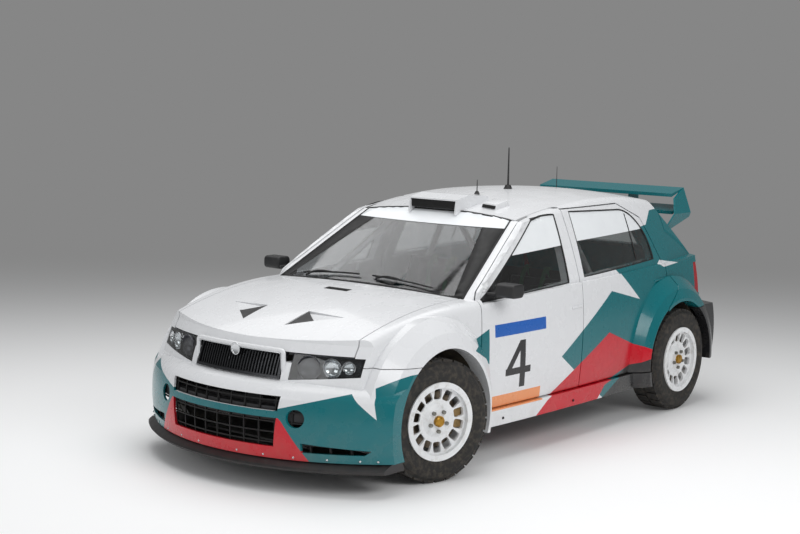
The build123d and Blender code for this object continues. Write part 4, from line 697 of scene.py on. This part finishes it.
def sectionAt(node, height, side):
    # the points where a node's mesh crosses a height, on one side of the car, with y measured outward
    spots = [v.co for v in nodes[node].data.vertices]
    found = []
    for face in nodes[node].data.polygons:
        ring = list(face.vertices)
        for first, second in zip(ring, ring[1:] + ring[:1]):
            low, high = spots[first].z - height, spots[second].z - height
            if low * high < 0:
                spot = spots[first].lerp(spots[second], low / (low - high))
                if side * spot.y > 0.4:
                    found.append((spot.x, side * spot.y))
    return found


def pillarRow(side, sideName, height):
    edge = sectionAt("windscreen", height, side)
    reach = max(y for x, y in edge)
    start = Vector(max(p for p in edge if p[1] > reach - 2 * mm))
    door = []
    for node in ("front_door_glass_", "front_door_"):
        door += sectionAt(node + sideName, height, side)
    ahead = max(x for x, y in door)
    inner = min(y for x, y in door if x > ahead - 4 * mm)
    end = Vector((ahead + pillar["seam"], inner - pillar["seam"]))
    along = end - start
    out = Vector((along.y, -along.x)).normalized()
    row = []
    for share, swell in pillar["profile"]:
        spot = start + along * share + out * swell * pillar["swell"]
        row.append(Vector((spot.x, side * spot.y, height)))
    return row


for s, side in bothSides:
    count = pillar["rows"]
    rise = pillar["top"] - pillar["foot"]
    rows = [pillarRow(s, side, pillar["foot"] + rise * i / (count - 1)) for i in range(count)]
    freshStart()
    bpy.ops.mesh.primitive_grid_add(x_subdivisions=4, y_subdivisions=count - 1, size=1)
    skin = bpy.context.object
    for v in skin.data.vertices:
        v.co = rows[round((v.co.y + 0.5) * (count - 1))][round((v.co.x + 0.5) * 4)]
    if skin.data.polygons[0].normal.x < 0:
        skin.data.flip_normals()
    thicken(skin, pillar["wall"], -1)
    smoothBy(40)
    skin = named(skin, "pillarSkin_" + side, finishes["whiteGloss"])
    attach(skin, "root")

# The door's own frame lies on the glass, behind the shut line; the sail plate fills its front corner.
doorFrame = {"cut": (0.3735, 0, 1.10), "normal": (0.53, 0, 0.848), "wall": 4 * mm, "sailX": 0.585,
             "sailWall": 2 * mm}


def wrapFace(side):
    # the outer side of the pane and the strip along its front that leans back with the windscreen
    return lambda face: side * face.normal.y > 0.5 or (face.normal.z > 0.6 and side * face.normal.y > 0.05)


def glassPatch(node, name, test, cuts, wallDepth, finish):
    made = cadCopy(node, name)
    keepOnly(made, test)
    cutBy(made, cuts)
    thicken(made, wallDepth, 1, even=True)
    smoothBy(18)
    return named(made, name, finish)


for s, side in bothSides:
    glass = "front_door_glass_" + side
    strip = glassPatch(glass, "doorFrame_" + side, wrapFace(s), [(doorFrame["cut"], doorFrame["normal"])],
                       doorFrame["wall"], finishes["whiteGloss"])
    away = tuple(-part for part in doorFrame["normal"])
    cuts = [((doorFrame["sailX"], 0, 1), (1, 0, 0)), (doorFrame["cut"], away)]
    sail = glassPatch(glass, "sailPlate_" + side, outerFace(glass), cuts, doorFrame["sailWall"],
                      finishes["mouldedAbs"])
    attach(strip, "front_door_" + side)
    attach(sail, "front_door_" + side)
print("front pillars done")

# Seals round the panes.
seals = {"radius": 6 * mm, "nodes": {
    "windscreen": "root", "rear_glass": "tailgate", "front_door_glass_left": "front_door_left",
    "front_door_glass_right": "front_door_right", "rear_door_glass_left": "rear_door_left",
    "rear_door_glass_right": "rear_door_right"}}
for node, body in seals["nodes"].items():
    seal = cadCopy(node, "seal")
    keepOnly(seal, outerFace(node))
    startEdit(seal)
    if node.startswith("front_door"):
        bpy.ops.mesh.bisect(plane_co=doorFrame["cut"], plane_no=doorFrame["normal"], clear_outer=True)
        bpy.ops.mesh.select_all(action="SELECT")
    bpy.ops.mesh.region_to_loop()
    bpy.ops.mesh.duplicate()
    bpy.ops.mesh.separate(type="SELECTED")
    bpy.ops.object.mode_set(mode="OBJECT")
    edge = [o for o in bpy.context.selected_objects if o != seal][0]
    bpy.data.objects.remove(seal)
    pick(edge)
    bpy.ops.object.convert(target="CURVE")
    edge = bpy.context.object
    edge.data.bevel_depth = seals["radius"]
    edge.data.bevel_resolution = 2
    bpy.ops.object.convert(target="MESH")
    edge = bpy.context.object
    smoothBy(50)
    edge = named(edge, "seal_" + node, finishes["sealRubber"])
    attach(edge, body)
print("films and seals done")

# Door handles.
handles = {"front": (-0.142, 0.778, "front_door_"), "rear": (-1.150, 0.842, "rear_door_"), "length": 110 * mm,
           "height": 26 * mm, "proud": 16 * mm, "taper": (1, 0.7, 0.62), "round": 5 * mm,
           "lift": 3 * mm, "tilt": 2}
for place in ("front", "rear"):
    x, z, node = handles[place]
    for s, side in bothSides:
        spot, normal = onSkin(node + side, (x, 2 * s, z), (0, -s, 0))
        bar = block((handles["length"], handles["proud"], handles["height"]))
        chooseFaces(bar, lambda face: abs(face.normal.x) > 0.9)
        bpy.ops.transform.resize(value=handles["taper"])
        bpy.ops.object.mode_set(mode="OBJECT")
        bevelled(bar, handles["round"], 4)
        tilt = Matrix.Rotation(s * math.radians(handles["tilt"]), 4, "Y")
        bar.data.transform(Matrix.Translation(spot + Vector((0, s * handles["lift"], 0))) @ tilt)
        finish = finishes["whiteGloss"] if place == "front" else finishes["tealGloss"]
        bar = named(bar, "handle_" + place + "_" + side, finish)
        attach(bar, node + side)
print("handles done")

# Mirrors: the housing rounded off, and its glass.
mirror = {"voxel": 4 * mm, "passes": 14, "fromEdge": 61 * mm, "below": 38 * mm,
          "width": 96 * mm, "height": 54 * mm, "depth": 3 * mm}
for s, side in bothSides:
    pane = block((mirror["depth"], mirror["width"], mirror["height"]))
    low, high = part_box("mirror_" + side)
    reach = (high.y - mirror["fromEdge"]) if s > 0 else (low.y + mirror["fromEdge"])
    pane.data.transform(Matrix.Translation((low.x, reach, high.z - mirror["below"])))
    bevelled(pane, 1 * mm)
    pane = named(pane, "mirrorGlass_" + side, finishes["mirrorSilver"])
    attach(pane, "front_door_" + side)
    shell = cadCopy("mirror_" + side, "mirrorShell")
    remesh = shell.modifiers.new("voxel", "REMESH")
    remesh.mode, remesh.voxel_size = "VOXEL", mirror["voxel"]
    relax = shell.modifiers.new("relax", "SMOOTH")
    relax.factor, relax.iterations = 0.5, mirror["passes"]
    applyModifiers(shell)
    bpy.ops.object.shade_smooth()
    shell = named(shell, "mirrorShell_" + side, finishes["mouldedAbs"])
    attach(shell, "front_door_" + side)
    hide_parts("mirror_" + side)

# Seat pads.
cushions = {"seatReach": 0.36, "round": 14 * mm, "voxel": 8 * mm, "give": 8 * mm, "pressure": 4, "frames": 20,
            "channels": (-0.07, 0.07), "channelWidth": 7 * mm, "channelDepth": 5 * mm}
cushionSpots = {
    # middle, size, lean back in degrees
    "base": (Vector((-0.10, 0, 0.405)), Vector((0.36, 0.39, 0.055)), -6),
    "back": (Vector((-0.345, 0, 0.665)), Vector((0.055, 0.37, 0.46)), -10),
}


def clothPad(pad, cap):
    # swells the pad like a filled cushion, and holds it within cap of its first shape
    rest = [v.co.copy() for v in pad.data.vertices]
    cloth = pad.modifiers.new("cloth", "CLOTH")
    cloth.settings.use_pressure = True
    cloth.settings.uniform_pressure_force = cushions["pressure"]
    cloth.settings.effector_weights.gravity = 0
    cloth.point_cache.frame_start, cloth.point_cache.frame_end = 1, cushions["frames"]
    for step in range(1, cushions["frames"] + 1):
        bpy.context.scene.frame_set(step)
    pick(pad)
    bpy.ops.object.modifier_apply(modifier="cloth")
    bpy.context.scene.frame_set(1)
    for v, start in zip(pad.data.vertices, rest):
        move = v.co - start
        if move.length > cap:
            v.co = start + move * (cap / move.length)


for name, (middle, size, lean) in cushionSpots.items():
    pad = block(size)
    bevelled(pad, cushions["round"], 3)
    remesh = pad.modifiers.new("voxel", "REMESH")
    remesh.mode, remesh.voxel_size = "VOXEL", cushions["voxel"]
    applyModifiers(pad)
    clothPad(pad, cushions["give"])
    # two sewn channels down the middle of the pad, pulled in by their stitches
    for v in pad.data.vertices:
        for line in cushions["channels"]:
            pull = math.exp(-((v.co.y - line) / cushions["channelWidth"]) ** 2)
            if name == "base" and v.co.z > 0:
                v.co.z -= cushions["channelDepth"] * pull
            elif name == "back" and v.co.x > 0:
                v.co.x -= cushions["channelDepth"] * pull
    pad.data.transform(Matrix.Translation(middle) @ Matrix.Rotation(math.radians(lean), 4, "Y"))
    for s, side in bothSides:
        made = stamp(pad, "pad", Matrix.Translation((0, s * cushions["seatReach"], 0)))
        made = named(made, "seatPad_" + name + "_" + side, finishes["seatCloth"])
        pick(made)
        bpy.ops.object.shade_smooth()
        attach(made, "root")
    bpy.data.objects.remove(pad)
print("seat pads done")

# Shoulder belts, two to a seat.
belts = {
    "width": 44 * mm, "thickness": 1.1 * mm,
    # over the seat back: x, distance from the seat's middle line, z
    "line": ((-0.43, 0.075, 0.90), (-0.385, 0.075, 0.955), (-0.34, 0.075, 0.90),
             (-0.315, 0.07, 0.80), (-0.275, 0.05, 0.62), (-0.235, 0.02, 0.50)),
}
for s, side in bothSides:
    y = s * cushions["seatReach"]
    for t, edge in ((-1, "inner"), (1, "outer")):
        line = [(x, y + t * reach, z) for x, reach, z in belts["line"]]
        strap = tubeAlong("shoulderBelt_" + edge + "_" + side, line, belts["thickness"],
                          finishes["beltWebbing"], flat=belts["width"])
        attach(strap, "root")
print("belts done")

# Screws along the splitter.
screws = {"bow": 1.262, "bowX": 0.716, "height": 0.187, "radius": 6 * mm, "flatten": 0.6, "fromEdge": 12 * mm,
          "spots": (0.14, 0.30, 0.46, 0.62, 0.76, 0.83)}
freshStart()
bpy.ops.mesh.primitive_uv_sphere_add(segments=12, ring_count=8, radius=screws["radius"])
dome = bpy.context.object
startEdit(dome)
bpy.ops.transform.resize(value=(screws["flatten"], 1, 1))
bpy.ops.object.mode_set(mode="OBJECT")
heads = []
for reach in screws["spots"]:
    for s, side in bothSides:
        lean = math.asin(reach / screws["bow"])
        x = screws["bowX"] + (screws["bow"] - screws["fromEdge"]) * math.cos(lean)
        spot = Matrix.Translation((x, s * reach, screws["height"]))
        heads.append(stamp(dome, "head", spot @ Matrix.Rotation(s * lean, 4, "Z")))
bpy.data.objects.remove(dome)
heads = fused("splitterScrews", heads, finishes["brightScrew"])
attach(heads, "root")

# Dark panel behind the grille: painted shade of the space behind the slats.
shadePanel = {"size": (4 * mm, 0.56, 0.115), "place": (1.752, 0, 0.622)}
dark = block(shadePanel["size"])
dark.data.transform(Matrix.Translation(shadePanel["place"]))
bevelled(dark, 1.5 * mm)
dark = named(dark, "grilleShadePanel", finishes["meshBlackAndShade"])
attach(dark, "hood")

# Black band round the windscreen.
frit = {"foot": 50 * mm, "side": 44 * mm, "wall": 0.7 * mm, "footRow": 0.90, "topRow": 1.29}
band = cadCopy("windscreen", "screenBand")
keepOnly(band, outerFace("windscreen"))
footRow = [v.co for v in band.data.vertices if v.co.z < frit["footRow"]]
topRow = [v.co for v in band.data.vertices if v.co.z > frit["topRow"]]
footHalf, topHalf = max(v.y for v in footRow), max(v.y for v in topRow)
footZ, topZ = min(v.z for v in footRow), max(v.z for v in topRow)
lean = (footHalf - topHalf) / (topZ - footZ)
cuts = [((0, 0, footZ + frit["foot"]), (0, 0, 1))]
for s, side in bothSides:
    cuts.append(((0, s * (footHalf - frit["side"]), footZ), (0, s, lean)))
cutBy(band, cuts, clearInner=False)


def insideBand(face):
    c = face.center
    clearFoot = c.z > footZ + frit["foot"]
    return clearFoot and all((c - Vector(point)).dot(Vector(normal)) < 0 for point, normal in cuts[1:])


chooseFaces(band, insideBand)
bpy.ops.mesh.delete(type="FACE")
bpy.ops.object.mode_set(mode="OBJECT")
thicken(band, frit["wall"], 1)
band = named(band, "screenBand", finishes["sealRubber"])
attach(band, "root")

# Wipers.
wiperSet = {
    "lift": 13 * mm, "blade": 5 * mm, "arm": 6 * mm, "line": 0.785, "pivot": 0.800,
    "spans": ((0.04, 0.47), (-0.49, -0.06)), "pivotIn": 0.03, "pivotLift": 4 * mm,
    "elbowLift": 24 * mm, "elbow": (-0.01, 0.03, 0), "wrist": (0.012, 0, 12 * mm),
}
wiperParts = []
for low, high in wiperSet["spans"]:
    line = []
    for i in range(7):
        y = low + (high - low) * i / 6
        spot, normal = onSkin("windscreen", (wiperSet["line"], y, 1.6), (0, 0, -1))
        line.append(spot + normal * wiperSet["lift"])
    wiperParts.append(tubeAlong("blade", line, wiperSet["blade"], finishes["mouldedAbs"]))
    foot, normal = onSkin("windscreen", (wiperSet["pivot"], low + wiperSet["pivotIn"], 1.6), (0, 0, -1))
    elbow = foot + normal * wiperSet["elbowLift"] + Vector(wiperSet["elbow"])
    arm = [foot + normal * wiperSet["pivotLift"], elbow, line[2] + Vector(wiperSet["wrist"]), line[3]]
    wiperParts.append(tubeAlong("arm", arm, wiperSet["arm"], finishes["mouldedAbs"]))
wiperPiece = fused("wiperArms", wiperParts, finishes["mouldedAbs"])
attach(wiperPiece, "root")
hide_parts("wipers")
print("screen band and wipers done")

# Hood vents: a dark plate in the inner half of each opening, painted shade of the hole, and a white painted ramp
# in the outer half.
vents = {
    "middle": (1.502, 0.233), "wall": 2 * mm, "outward": 12 * mm,
    # each: x, distance from the middle line, millimetres below the skin; finish and slot
    "ventHoleShade": (((1.627, 0.152, -3), (1.441, 0.152, -3), (1.535, 0.275, -3)), "mouldedAbs", "black_plastic"),
    "ventRamp": (((1.441, 0.154, -14), (1.533, 0.276, -2), (1.441, 0.396, -2)), "whiteGloss", "body_white"),
}
for name in ("ventHoleShade", "ventRamp"):
    corners, finish, slotName = vents[name]
    for s, side in bothSides:
        freshStart()
        bpy.ops.mesh.primitive_circle_add(vertices=3, fill_type="NGON")
        tray = bpy.context.object
        for v, (x, y, drop) in zip(tray.data.vertices, corners):
            away = Vector((x - vents["middle"][0], y - vents["middle"][1], 0)).normalized() * vents["outward"]
            spot, normal = onSkin("hood", (x + away.x, s * (y + away.y), 2), (0, 0, -1))
            v.co = (x, s * y, spot.z + drop * mm)
        if tray.data.polygons[0].normal.z < 0:
            tray.data.flip_normals()
        thicken(tray, vents["wall"], -1)
        tray = named(tray, name + "_" + side, finishes[finish])
        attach(tray, "hood")

# Small dark grille let into the rear of the hood.
cowlVent = {"x": 1.05, "y": 0.006, "length": 46 * mm, "width": 168 * mm, "wall": 1.2 * mm, "lift": 0.6 * mm,
            "slats": 4, "slat": (4 * mm, 160 * mm, 3 * mm), "pitch": 10 * mm}
slatParts = []
spot, normal = onSkin("hood", (cowlVent["x"], cowlVent["y"], 2), (0, 0, -1))
turn = Vector((0, 0, 1)).rotation_difference(normal).to_matrix().to_4x4()
shifts = [(i - (cowlVent["slats"] - 1) / 2) * cowlVent["pitch"] for i in range(cowlVent["slats"])]
for shift in shifts + [None]:   # the plate under the slats comes last
    plate = shift is None
    slat = block((cowlVent["length"], cowlVent["width"], cowlVent["wall"]) if plate else cowlVent["slat"])
    ahead = Matrix.Translation((0 if plate else shift, 0, 0))
    slat.data.transform(Matrix.Translation(spot + normal * cowlVent["lift"]) @ turn @ ahead)
    slatParts.append(slat)
cowlPiece = fused("hoodGrille", slatParts, finishes["meshBlackAndShade"])
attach(cowlPiece, "hood")

# Roof intake mouth and the box vent beside it; a near-black plate in each opening paints the shade inside it.
roofBits = {
    "mouth": (3 * mm, 0.33, 52 * mm), "mouthBack": 20 * mm, "mouthDown": 28 * mm,
    "box": (-0.02, 0.30), "boxSize": (150 * mm, 110 * mm, 36 * mm), "boxTop": (0.72, 0.86, 1), "boxLift": 14 * mm,
    "hole": (4 * mm, 92 * mm, 20 * mm), "holeAhead": 70 * mm, "holeLift": 15 * mm, "holeLean": -30,
}
# a near-black plate just inside the scoop: painted shade of its inside
mouth = block(roofBits["mouth"])
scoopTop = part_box("roof_scoop")[1]
mouth.data.transform(Matrix.Translation((scoopTop.x - roofBits["mouthBack"], 0,
                                         scoopTop.z - roofBits["mouthDown"] - roofBits["mouth"][2] / 2)))
bevelled(mouth, 1 * mm)
mouth = named(mouth, "scoopMouthShade", finishes["meshBlackAndShade"])
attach(mouth, "root")
spot, normal = onSkin("roof_panel", (*roofBits["box"], 2), (0, 0, -1))
turn = Vector((0, 0, 1)).rotation_difference(normal).to_matrix().to_4x4()
ventBox = block(roofBits["boxSize"])
chooseFaces(ventBox, lambda face: face.normal.z > 0.9)
bpy.ops.transform.resize(value=roofBits["boxTop"])
bpy.ops.object.mode_set(mode="OBJECT")
ventBox.data.transform(Matrix.Translation(spot + normal * roofBits["boxLift"]) @ turn)
bevelled(ventBox, 3 * mm, 3)
ventBox = named(ventBox, "roofBoxVent", finishes["whiteGloss"])
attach(ventBox, "root")
# a near-black block in the vent's opening: painted shade of its inside
hole = block(roofBits["hole"])
hole.data.transform(Matrix.Translation(spot + normal * roofBits["holeLift"]) @ turn
                    @ Matrix.Translation((roofBits["holeAhead"], 0, 0))
                    @ Matrix.Rotation(math.radians(roofBits["holeLean"]), 4, "Y"))
hole = named(hole, "roofBoxVentShade", finishes["meshBlackAndShade"])
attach(hole, "root")
print("hood and roof vents done")

# Grille surround, chrome line and plain roundel.
surround = {"foot": (0.314, 0.546), "top": (0.309, 0.699), "tube": 12 * mm, "chrome": 3 * mm, "inside": 12 * mm,
            "roundel": (32 * mm, 10 * mm), "roundelPlace": (6 * mm, 0, 0.676),
            "noseHeight": 0.62, "noseReach": 0.29}


def noseFront(y, z):
    # the furthest forward of the skins there
    best = None
    for node in ("hood", "grille", "front_bumper"):
        hit, place, normal, index = nodes[node].ray_cast(Vector((2.2, y, z)), Vector((-1, 0, 0)))
        if hit and place.x > 1.6 and (best is None or place.x > best):
            best = place.x
    return best


noseMiddle = noseFront(0.0, surround["noseHeight"])
noseSide = noseFront(surround["noseReach"], surround["noseHeight"])


def surfaceBow(y):
    return noseMiddle + (noseSide - noseMiddle) * (y / surround["noseReach"]) ** 2


def ringRound(name, grow, sink, radius, finish):
    (footY, footZ), (topY, topZ) = surround["foot"], surround["top"]
    footY, topY, footZ, topZ = footY + grow, topY + grow, footZ - grow, topZ + grow
    # along the foot, up the left side, back along the top and down the right side
    path = [(footY * (i / 6 - 1), footZ) for i in range(13)]
    path += [(footY + (topY - footY) * i / 5, footZ + (topZ - footZ) * i / 5) for i in range(1, 5)]
    path += [(topY * (1 - i / 6), topZ) for i in range(13)]
    path += [(-(topY + (footY - topY) * i / 5), topZ + (footZ - topZ) * i / 5) for i in range(1, 5)]
    path = [(surfaceBow(y) - sink, y, z) for y, z in path]
    return named(splineMesh(name, path, radius, 5, closed=True), name, finish)


whiteRing = ringRound("grilleSurround", 0, 2 * mm, surround["tube"], finishes["whiteGloss"])
chromeRing = ringRound("grilleChrome", -surround["inside"], -1 * mm, surround["chrome"], finishes["chromedTrim"])
roundel = disc(48, *surround["roundel"])
chooseFaces(roundel, lambda face: face.normal.x > 0.9)
bpy.ops.mesh.inset(thickness=5 * mm, depth=0)
bpy.ops.mesh.inset(thickness=1 * mm, depth=-3 * mm)
bpy.ops.object.mode_set(mode="OBJECT")
ahead, across, high = surround["roundelPlace"]
roundel.data.transform(Matrix.Translation((noseMiddle + ahead, across, high)))
bevelled(roundel, 1 * mm)
roundel = named(roundel, "grilleRoundel", finishes["chromedTrim"])
for piece in (whiteRing, chromeRing, roundel):
    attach(piece, "hood")
print("grille trim done")

# Window divider and rocker screws.
divider = {"top": (-0.968, 1.262), "foot": (-0.938, 0.985), "radius": 5 * mm}
for s, side in bothSides:
    line = []
    for i in range(6):
        x = divider["top"][0] + (divider["foot"][0] - divider["top"][0]) * i / 5
        z = divider["top"][1] + (divider["foot"][1] - divider["top"][1]) * i / 5
        spot, normal = onSkin("rear_door_glass_" + side, (x, 2 * s, z), (0, -s, 0))
        line.append(spot)
    strip = tubeAlong("windowDivider_" + side, line, divider["radius"], finishes["sealRubber"])
    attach(strip, "rear_door_" + side)
rocker = {"radius": 8 * mm, "spots": ((0.584, 0.236), (-0.10, 0.232), (-0.792, 0.226))}
rockerHeads = []
freshStart()
bpy.ops.mesh.primitive_uv_sphere_add(segments=12, ring_count=8, radius=rocker["radius"])
dome = bpy.context.object
for x, z in rocker["spots"]:
    for s, side in bothSides:
        spot, normal = onSkin("side_frame_" + side, (x, 2 * s, z), (0, -s, 0))
        rockerHeads.append(stamp(dome, "head", Matrix.Translation(spot)))
bpy.data.objects.remove(dome)
rockerHeads = fused("rockerScrews", rockerHeads, finishes["mouldedAbs"])
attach(rockerHeads, "root")

# Floor, light and camera.
studio = {"floor": "#fbfbfb", "grey": "#868686", "camera": (7.316, 5.560, 2.075), "yaw": 219.202, "pitch": -7.036,
          "roll": 1.114, "lens": 68.5, "fade": (-1.5, 8.5), "worldLight": 0.42}
freshStart()
bpy.ops.mesh.primitive_plane_add(size=120, location=(0, 0, 0))
floor = bpy.context.object
floor.name = "studioFloor"
# matt emulsion, rolled on: pale near the car, grey far off
made, tree, shader = startMaterial("paintedStudioFloor")
place = addNode(tree, "TexCoord").outputs["Object"]
yaw = math.radians(studio["yaw"])
away = addNode(tree, "VectorMath", {"operation": "DOT_PRODUCT", 1: (math.cos(yaw), math.sin(yaw), 0)}, {0: place})
settings = {"interpolation_type": "SMOOTHSTEP", "From Min": studio["fade"][0], "From Max": studio["fade"][1]}
fade = addNode(tree, "MapRange", settings, {0: away.outputs["Value"]})
shader.inputs["Base Color"].default_value = toLinear(studio["floor"])
shader.inputs["Roughness"].default_value = 0.75
glow = addNode(tree, "Emission", {"Color": toLinear(studio["grey"])})   # the grey sweep far behind the car
mixed = addNode(tree, "MixShader", links={0: fade.outputs[0], 1: shader.outputs[0], 2: glow.outputs[0]})
output = [n for n in tree.nodes if n.type == "OUTPUT_MATERIAL"][0]
tree.links.new(mixed.outputs[0], output.inputs[0])
floor.data.materials.append(made)

world = bpy.data.worlds.new("studio")
bpy.context.scene.world = world
world.use_nodes = True
tree = world.node_tree
tree.nodes.clear()
path = addNode(tree, "LightPath")
light = addNode(tree, "Background", {"Color": toLinear("#f4f6f8"), "Strength": studio["worldLight"]})
backdrop = addNode(tree, "Background", {"Color": toLinear(studio["grey"]), "Strength": 1.0})
seen = combine(tree, "MAXIMUM", path.outputs["Is Camera Ray"], path.outputs["Is Glossy Ray"])
seen = combine(tree, "MAXIMUM", seen, path.outputs["Is Transmission Ray"])
mixed = addNode(tree, "MixShader", links={0: seen, 1: light.outputs[0], 2: backdrop.outputs[0]})
addNode(tree, "OutputWorld", links={0: mixed.outputs[0]})

lights = {
    # place, size, power, aimed at
    "keyPanel": ((2.0, 6.5, 4.6), (5.0, 2.5), 190, (0, 0, 0.6)),
    "topPanel": ((0.0, 0.0, 5.5), (7.0, 4.0), 175, (0, 0, 0)),
    "nosePanel": ((7.5, -1.5, 3.0), (4.0, 2.5), 55, (0.8, 0, 0.6)),
    "screenPanel": ((-0.9, -3.7, 5.2), (3.4, 3.0), 46, (0.5, 0, 1.1)),
}
for name, (place, size, power, target) in lights.items():
    lamp = bpy.data.lights.new(name, "AREA")
    lamp.shape, lamp.size, lamp.size_y, lamp.energy = "RECTANGLE", size[0], size[1], power
    made = bpy.data.objects.new(name, lamp)
    made.location = place
    made.rotation_euler = (Vector(target) - Vector(place)).to_track_quat("-Z", "Y").to_euler()
    bpy.context.scene.collection.objects.link(made)

pitch, roll = math.radians(studio["pitch"]), math.radians(studio["roll"])
forward = Vector((math.cos(pitch) * math.cos(yaw), math.cos(pitch) * math.sin(yaw), math.sin(pitch)))
level = Vector((math.sin(yaw), -math.cos(yaw), 0))
upright = level.cross(forward)
right = level * math.cos(roll) + upright * math.sin(roll)
up = upright * math.cos(roll) - level * math.sin(roll)
camera = bpy.data.cameras.new("photoCamera")
camera.lens, camera.sensor_width, camera.clip_end = studio["lens"], 36, 300
view = bpy.data.objects.new("photoCamera", camera)
view.matrix_world = Matrix.Translation(studio["camera"]) @ Matrix((right, up, -forward)).transposed().to_4x4()
bpy.context.scene.collection.objects.link(view)
bpy.context.scene.camera = view
bpy.context.scene.view_settings.view_transform = "Standard"

print("scene ready")
